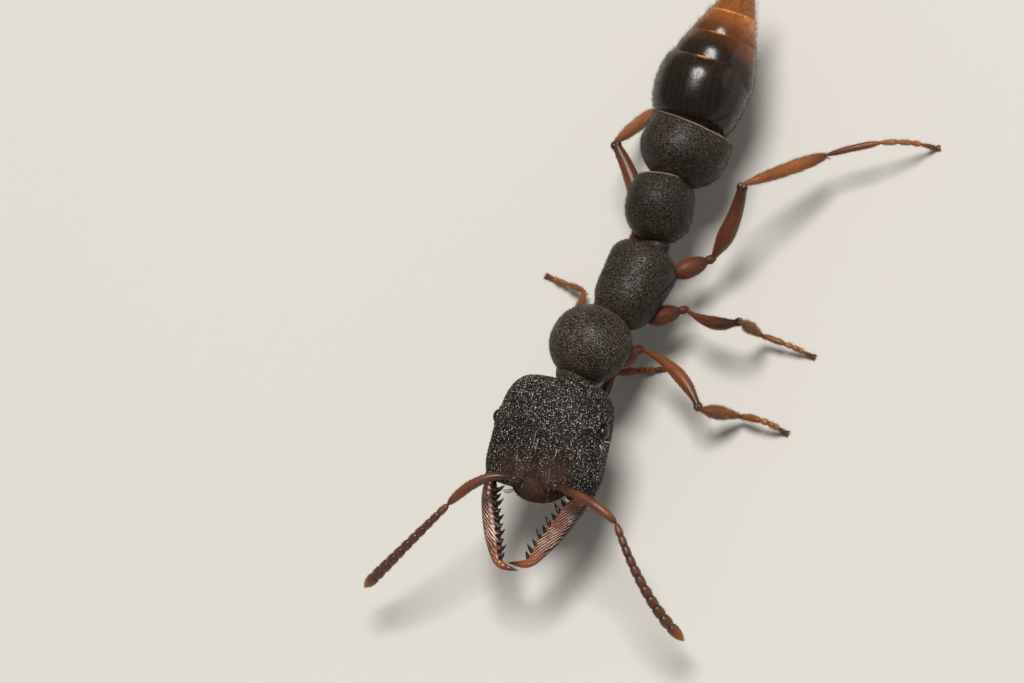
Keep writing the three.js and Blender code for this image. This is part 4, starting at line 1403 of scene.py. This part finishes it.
def hair_points(skin, count, length, width, lift, where=None, spread=0.35):
    """The seven corners of each hair, and its root's place along and around its part."""
    place, normal, flow, lie = roots_on(skin, count, where)
    lean = flow - normal * np.sum(flow * normal, axis=1, keepdims=True)
    lean = unit(lean + chance.normal(0, spread, lean.shape))
    rise = np.radians(lift * chance.uniform(0.6, 1.4, count))[:, None]
    aim = unit(lean * np.cos(rise) + normal * np.sin(rise))
    size = (length * chance.uniform(0.65, 1.25, count))[:, None]
    side = unit(np.cross(aim, normal))
    other = np.cross(side, aim)
    radius = (width / 2 * chance.uniform(0.8, 1.2, count))[:, None]
    middle = place + aim * size * 0.5 + normal * size * DROOP * 0.25
    points = np.zeros((count, HAIR_POINTS, 3))
    for corner in range(3):
        angle = corner * 2 * math.pi / 3
        ring = side * math.cos(angle) + other * math.sin(angle)
        points[:, corner] = place - normal * radius + ring * radius
        points[:, corner + 3] = middle + ring * radius * 0.7
    points[:, 6] = place + aim * size
    around = np.arctan2(lie[:, 2], lie[:, 0]) / (2 * math.pi) + 0.5
    along = lie[:, 1] - skin["lie"][:, 1].min()
    along /= np.ptp(skin["lie"][:, 1])
    return points, np.stack([around, along], axis=1)


def coat(name, material, slot, beds):
    """One coat piece. Each bed is a skin's name and how its hairs grow."""
    grown = []
    for index, (skin_name, *growth) in enumerate(beds):
        points, roots = hair_points(skins[skin_name], *growth)
        roots[:, 0] = (index + 0.02 + 0.96 * roots[:, 0]) / len(beds)
        roots[:, 1] = 0.01 + 0.98 * roots[:, 1]
        clear = points[:, :, 2].min(axis=1) > FLOOR_GAP
        grown.append((points[clear], roots[clear]))
    points, roots = (np.concatenate(rows) for rows in zip(*grown))
    count = len(points)
    loops = np.concatenate([np.array(face) for face in HAIR_FACES])
    sizes = np.array([len(face) for face in HAIR_FACES])
    indices = (loops[None, :] + np.arange(count)[:, None] * HAIR_POINTS).ravel()
    starts = np.concatenate([[0], np.cumsum(np.tile(sizes, count))[:-1]])
    mesh = bpy.data.meshes.new(name)
    mesh.vertices.add(count * HAIR_POINTS)
    mesh.loops.add(len(indices))
    mesh.polygons.add(len(starts))
    mesh.vertices.foreach_set("co", (points.reshape(-1, 3) * MM).astype(np.float32).ravel())
    mesh.loops.foreach_set("vertex_index", indices.astype(np.int32))
    mesh.polygons.foreach_set("loop_start", starts.astype(np.int32))
    mesh.update(calc_edges=True)
    corner_map = roots[:, None, :] + (np.array(HAIR_CORNERS) - 0.5)[None, :, :] * PATCH
    place_map = mesh.uv_layers.new(name="OFBake")
    place_map.data.foreach_set("uv", corner_map.reshape(-1, 2)[indices].astype(np.float32).ravel())
    tone = mesh.attributes.new("tone", "FLOAT", "POINT")
    tone.data.foreach_set("value", np.repeat(chance.random(count), HAIR_POINTS).astype(np.float32))
    mesh.shade_smooth()
    mesh.materials.append(material)
    piece = placed(name, mesh)
    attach(piece, "root")
    print(name, count, "hairs", count * HAIR_TRIANGLES, "triangles")
    return count * HAIR_TRIANGLES


# %% [markdown]
# Each coat lists the skins it grows on. The few long bristles on the face are placed one or two at
# a time, so their beds are weighted towards one spot.

# %% The coats
DARK_DOWN = hair_horn("hair_dark_down", (0.012, 0.009, 0.006), (0.11, 0.085, 0.055))
GOLD_DOWN = hair_horn("hair_gold_down", (0.022, 0.013, 0.007), (0.14, 0.08, 0.034))
AMBER_DOWN = hair_horn("hair_amber_down", (0.1, 0.045, 0.015), (0.36, 0.19, 0.07))
GOLD_HAIR = hair_horn("hair_gold", (0.11, 0.04, 0.011), (0.44, 0.22, 0.07))
PALE_HAIR = hair_horn("hair_pale", (0.4, 0.34, 0.24), (0.85, 0.78, 0.62))
NEVER_ZERO = 1e-12  # keeps a bed's weights usable where its hairs don't grow
EYE_TUFT = (0.17, 0.03)  # how far ahead of the eye a tuft grows, and its reach


def near(x, forward, reach):
    """Hairs grow near one place on top of the head."""
    def where(lie):
        gap = (lie[:, 0] - x) ** 2 + (lie[:, 1] - forward) ** 2
        return np.exp(-gap / reach**2) * (lie[:, 2] > 0) + NEVER_ZERO
    return where


def by_the_eye(lie):
    """Hairs grow in a tuft just in front of the left eye."""
    ahead, reach = EYE_TUFT
    gap = (lie[:, 1] + EYE_PLACE[1] - ahead) ** 2 + (lie[:, 2] - EYE_PLACE[2]) ** 2
    return np.exp(-gap / reach**2) * (lie[:, 0] > 0.5) + NEVER_ZERO


# part of a leg: how many hairs, their length, width and lift in degrees
LEG_GROWTH = {
    "hip": (420, 0.038, 0.003, 22),
    "thigh": (750, 0.04, 0.003, 20),
    "shin": (1200, 0.055, 0.0034, 20),
    "foot": (900, 0.042, 0.003, 26),
}
# this shin's darkness is painted shade from the head above it
BARE = "front_right_shin"  # this shin is dark and has no down that shows


def leg_beds(side_name):
    """The beds on the three legs of one side."""
    parts = [(pair, part) for pair in LEG_PAIRS for part in LEG_GROWTH]
    beds = [(f"{pair}_{side_name}_{part}", *LEG_GROWTH[part]) for pair, part in parts]
    return [bed for bed in beds if bed[0] != BARE]


# each bed: skin, count, length, width, lift, and where and how spread if it isn't all over the skin
COATS = [
    ("coat_head", DARK_DOWN, "granular_black", [("head_shell", 2600, 0.026, 0.0028, 32)]),
    ("coat_face", PALE_HAIR, "granular_black", [
        ("head_shell", 36, 0.052, 0.0032, 40, near(0, 1.66, 0.4)),
        ("head_shell", 1, 0.27, 0.0062, 9, near(-0.022, 0.94, 0.012), 0.08),
        ("head_shell", 1, 0.27, 0.0062, 9, near(0.025, 1.0, 0.012), 0.08),
        ("head_shell", 2, 0.13, 0.0062, 9, near(0.3, 1.12, 0.03), 0.08),
        ("head_shell", 2, 0.12, 0.0062, 9, near(-0.27, 1.28, 0.03), 0.08),
        ("head_shell", 9, 0.11, 0.0075, 20, by_the_eye, 0.5),
        ("jaw_left", 60, 0.07, 0.0045, 35),
        ("jaw_right", 60, 0.07, 0.0045, 35)]),
    ("coat_trunk", DARK_DOWN, "downy_black", [
        ("pronotum_shell", 4500, 0.04, 0.0028, 18),
        ("rear_trunk_shell", 4200, 0.04, 0.0028, 18),
        ("petiole_shell", 4200, 0.042, 0.0028, 18)]),
    ("coat_gaster_front", GOLD_DOWN, "downy_black", [
        ("first_ring_shell", 6000, 0.05, 0.0026, 14),
        ("second_ring_shell", 4200, 0.08, 0.0027, 10)]),
    ("coat_gaster_rear", GOLD_DOWN, "gloss_black", [
        ("third_ring_shell", 1400, 0.075, 0.0028, 14),
        ("fourth_ring_shell", 1100, 0.09, 0.003, 20)]),
    ("coat_gaster_tip", AMBER_DOWN, "amber_brown", [("tip_shell", 900, 0.12, 0.0034, 24)]),
    ("coat_legs_left", GOLD_HAIR, "leg_red", leg_beds("left")),
    ("coat_legs_right", GOLD_HAIR, "leg_red", leg_beds("right")),
    ("coat_feelers", AMBER_DOWN, "antenna_brown", [
        (f"{part}_{side_name}", count, 0.024, 0.0026, 28)
        for side_name in FEELERS for part, count in (("scape_rod", 1400), ("whip_beads", 3000))]),
]
print("coats together", sum(coat(*row) for row in COATS), "triangles")

# %% [markdown]
# ## Floor, light and camera
#
# The ant stands on a plain pale floor, with the room's pale walls as fill. A broad soft key light
# stands above and a little behind the camera, because its oval reflection is what shapes the
# polished gaster, and a weak one at the side lifts the shaded flank. The camera looks down
# steeply from the ant's left front and is rolled, so that the body runs up the picture and its
# tip leaves at the top.

# %% Floor
FLOOR_HALF = 0.6  # metres


def floor_finish():
    """A plain pale floor with a faint unevenness."""
    finish = Finish("pale_floor")
    pale = [(0.3, (0.56, 0.54, 0.505)), (0.7, (0.6, 0.58, 0.545))]
    return finish.made(finish.ramp(finish.mottled(0.01), pale), 0.9, Specular_IOR_Level=0.1)


bm = bmesh.new()
bmesh.ops.create_grid(bm, x_segments=1, y_segments=1, size=FLOOR_HALF)
floor_mesh = bpy.data.meshes.new("floor")
bm.to_mesh(floor_mesh)
bm.free()
floor_mesh.materials.append(floor_finish())
floor = placed("floor", floor_mesh)
print("floor", 2 * FLOOR_HALF, "metres wide")

# %% Camera
CAMERA_AZIMUTH = 58.0
CAMERA_ELEVATION = 60.0
CAMERA_ROLL = -40.6
CAMERA_DISTANCE = 80.0
VIEW_WIDTH = 14.124  # width that the picture takes in at the trunk
VIEW_OFFSET = (-1.403, -0.47)  # the picture's middle, right and up from the trunk's middle

azimuth, elevation = math.radians(CAMERA_AZIMUTH), math.radians(CAMERA_ELEVATION)
back = Vector((
    math.sin(azimuth) * math.cos(elevation), -math.cos(azimuth) * math.cos(elevation), math.sin(elevation)))
level_right = Vector((math.cos(azimuth), math.sin(azimuth), 0))
tilt = Matrix.Rotation(math.radians(CAMERA_ROLL), 3, back)
right = tilt @ level_right
up = tilt @ back.cross(level_right)
aimed_at = Vector((shift.x, shift.y, BODY_HEIGHT)) + right * VIEW_OFFSET[0] + up * VIEW_OFFSET[1]
camera_data = bpy.data.cameras.new("camera")
camera_data.sensor_width = 36.0
camera_data.lens = camera_data.sensor_width * CAMERA_DISTANCE / VIEW_WIDTH
camera_data.clip_start, camera_data.clip_end = 0.002, 2.0
camera = placed("camera", camera_data)
turn = Matrix((right, up, back)).transposed().to_4x4()
camera.matrix_world = Matrix.Translation((aimed_at + back * CAMERA_DISTANCE) * MM) @ turn
bpy.context.scene.camera = camera
print("lens", round(camera_data.lens, 1))


# %% Lights
WARM_WHITE = (1.0, 0.98, 0.95)
ROOM_COLOUR = (1.0, 0.975, 0.93, 1.0)
ROOM_STRENGTH = 0.27


def softbox(name, direction, distance, size, watts):
    """A round area light that shines at the ant from a direction."""
    data = bpy.data.lights.new(name, "AREA")
    data.shape = "DISK"
    data.size = size * MM
    data.energy = watts
    data.color = WARM_WHITE
    lamp = placed(name, data)
    direction = direction.normalized()
    lamp.location = (Vector((shift.x, shift.y, BODY_HEIGHT)) + direction * distance) * MM
    lamp.rotation_mode = "QUATERNION"
    lamp.rotation_quaternion = direction.to_track_quat("Z", "Y")


softbox("key", back + up * 0.75 - right * 0.2, 180, 80, 0.375)
softbox("side", back * 0.35 + right + up * 0.3, 260, 200, 0.06)
world = bpy.data.worlds.new("pale_room")
world.use_nodes = True
background = world.node_tree.nodes["Background"]
background.inputs["Color"].default_value = ROOM_COLOUR
background.inputs["Strength"].default_value = ROOM_STRENGTH
bpy.context.scene.world = world
bpy.context.scene.view_settings.view_transform = "Standard"
print("lights", len(bpy.data.lights))
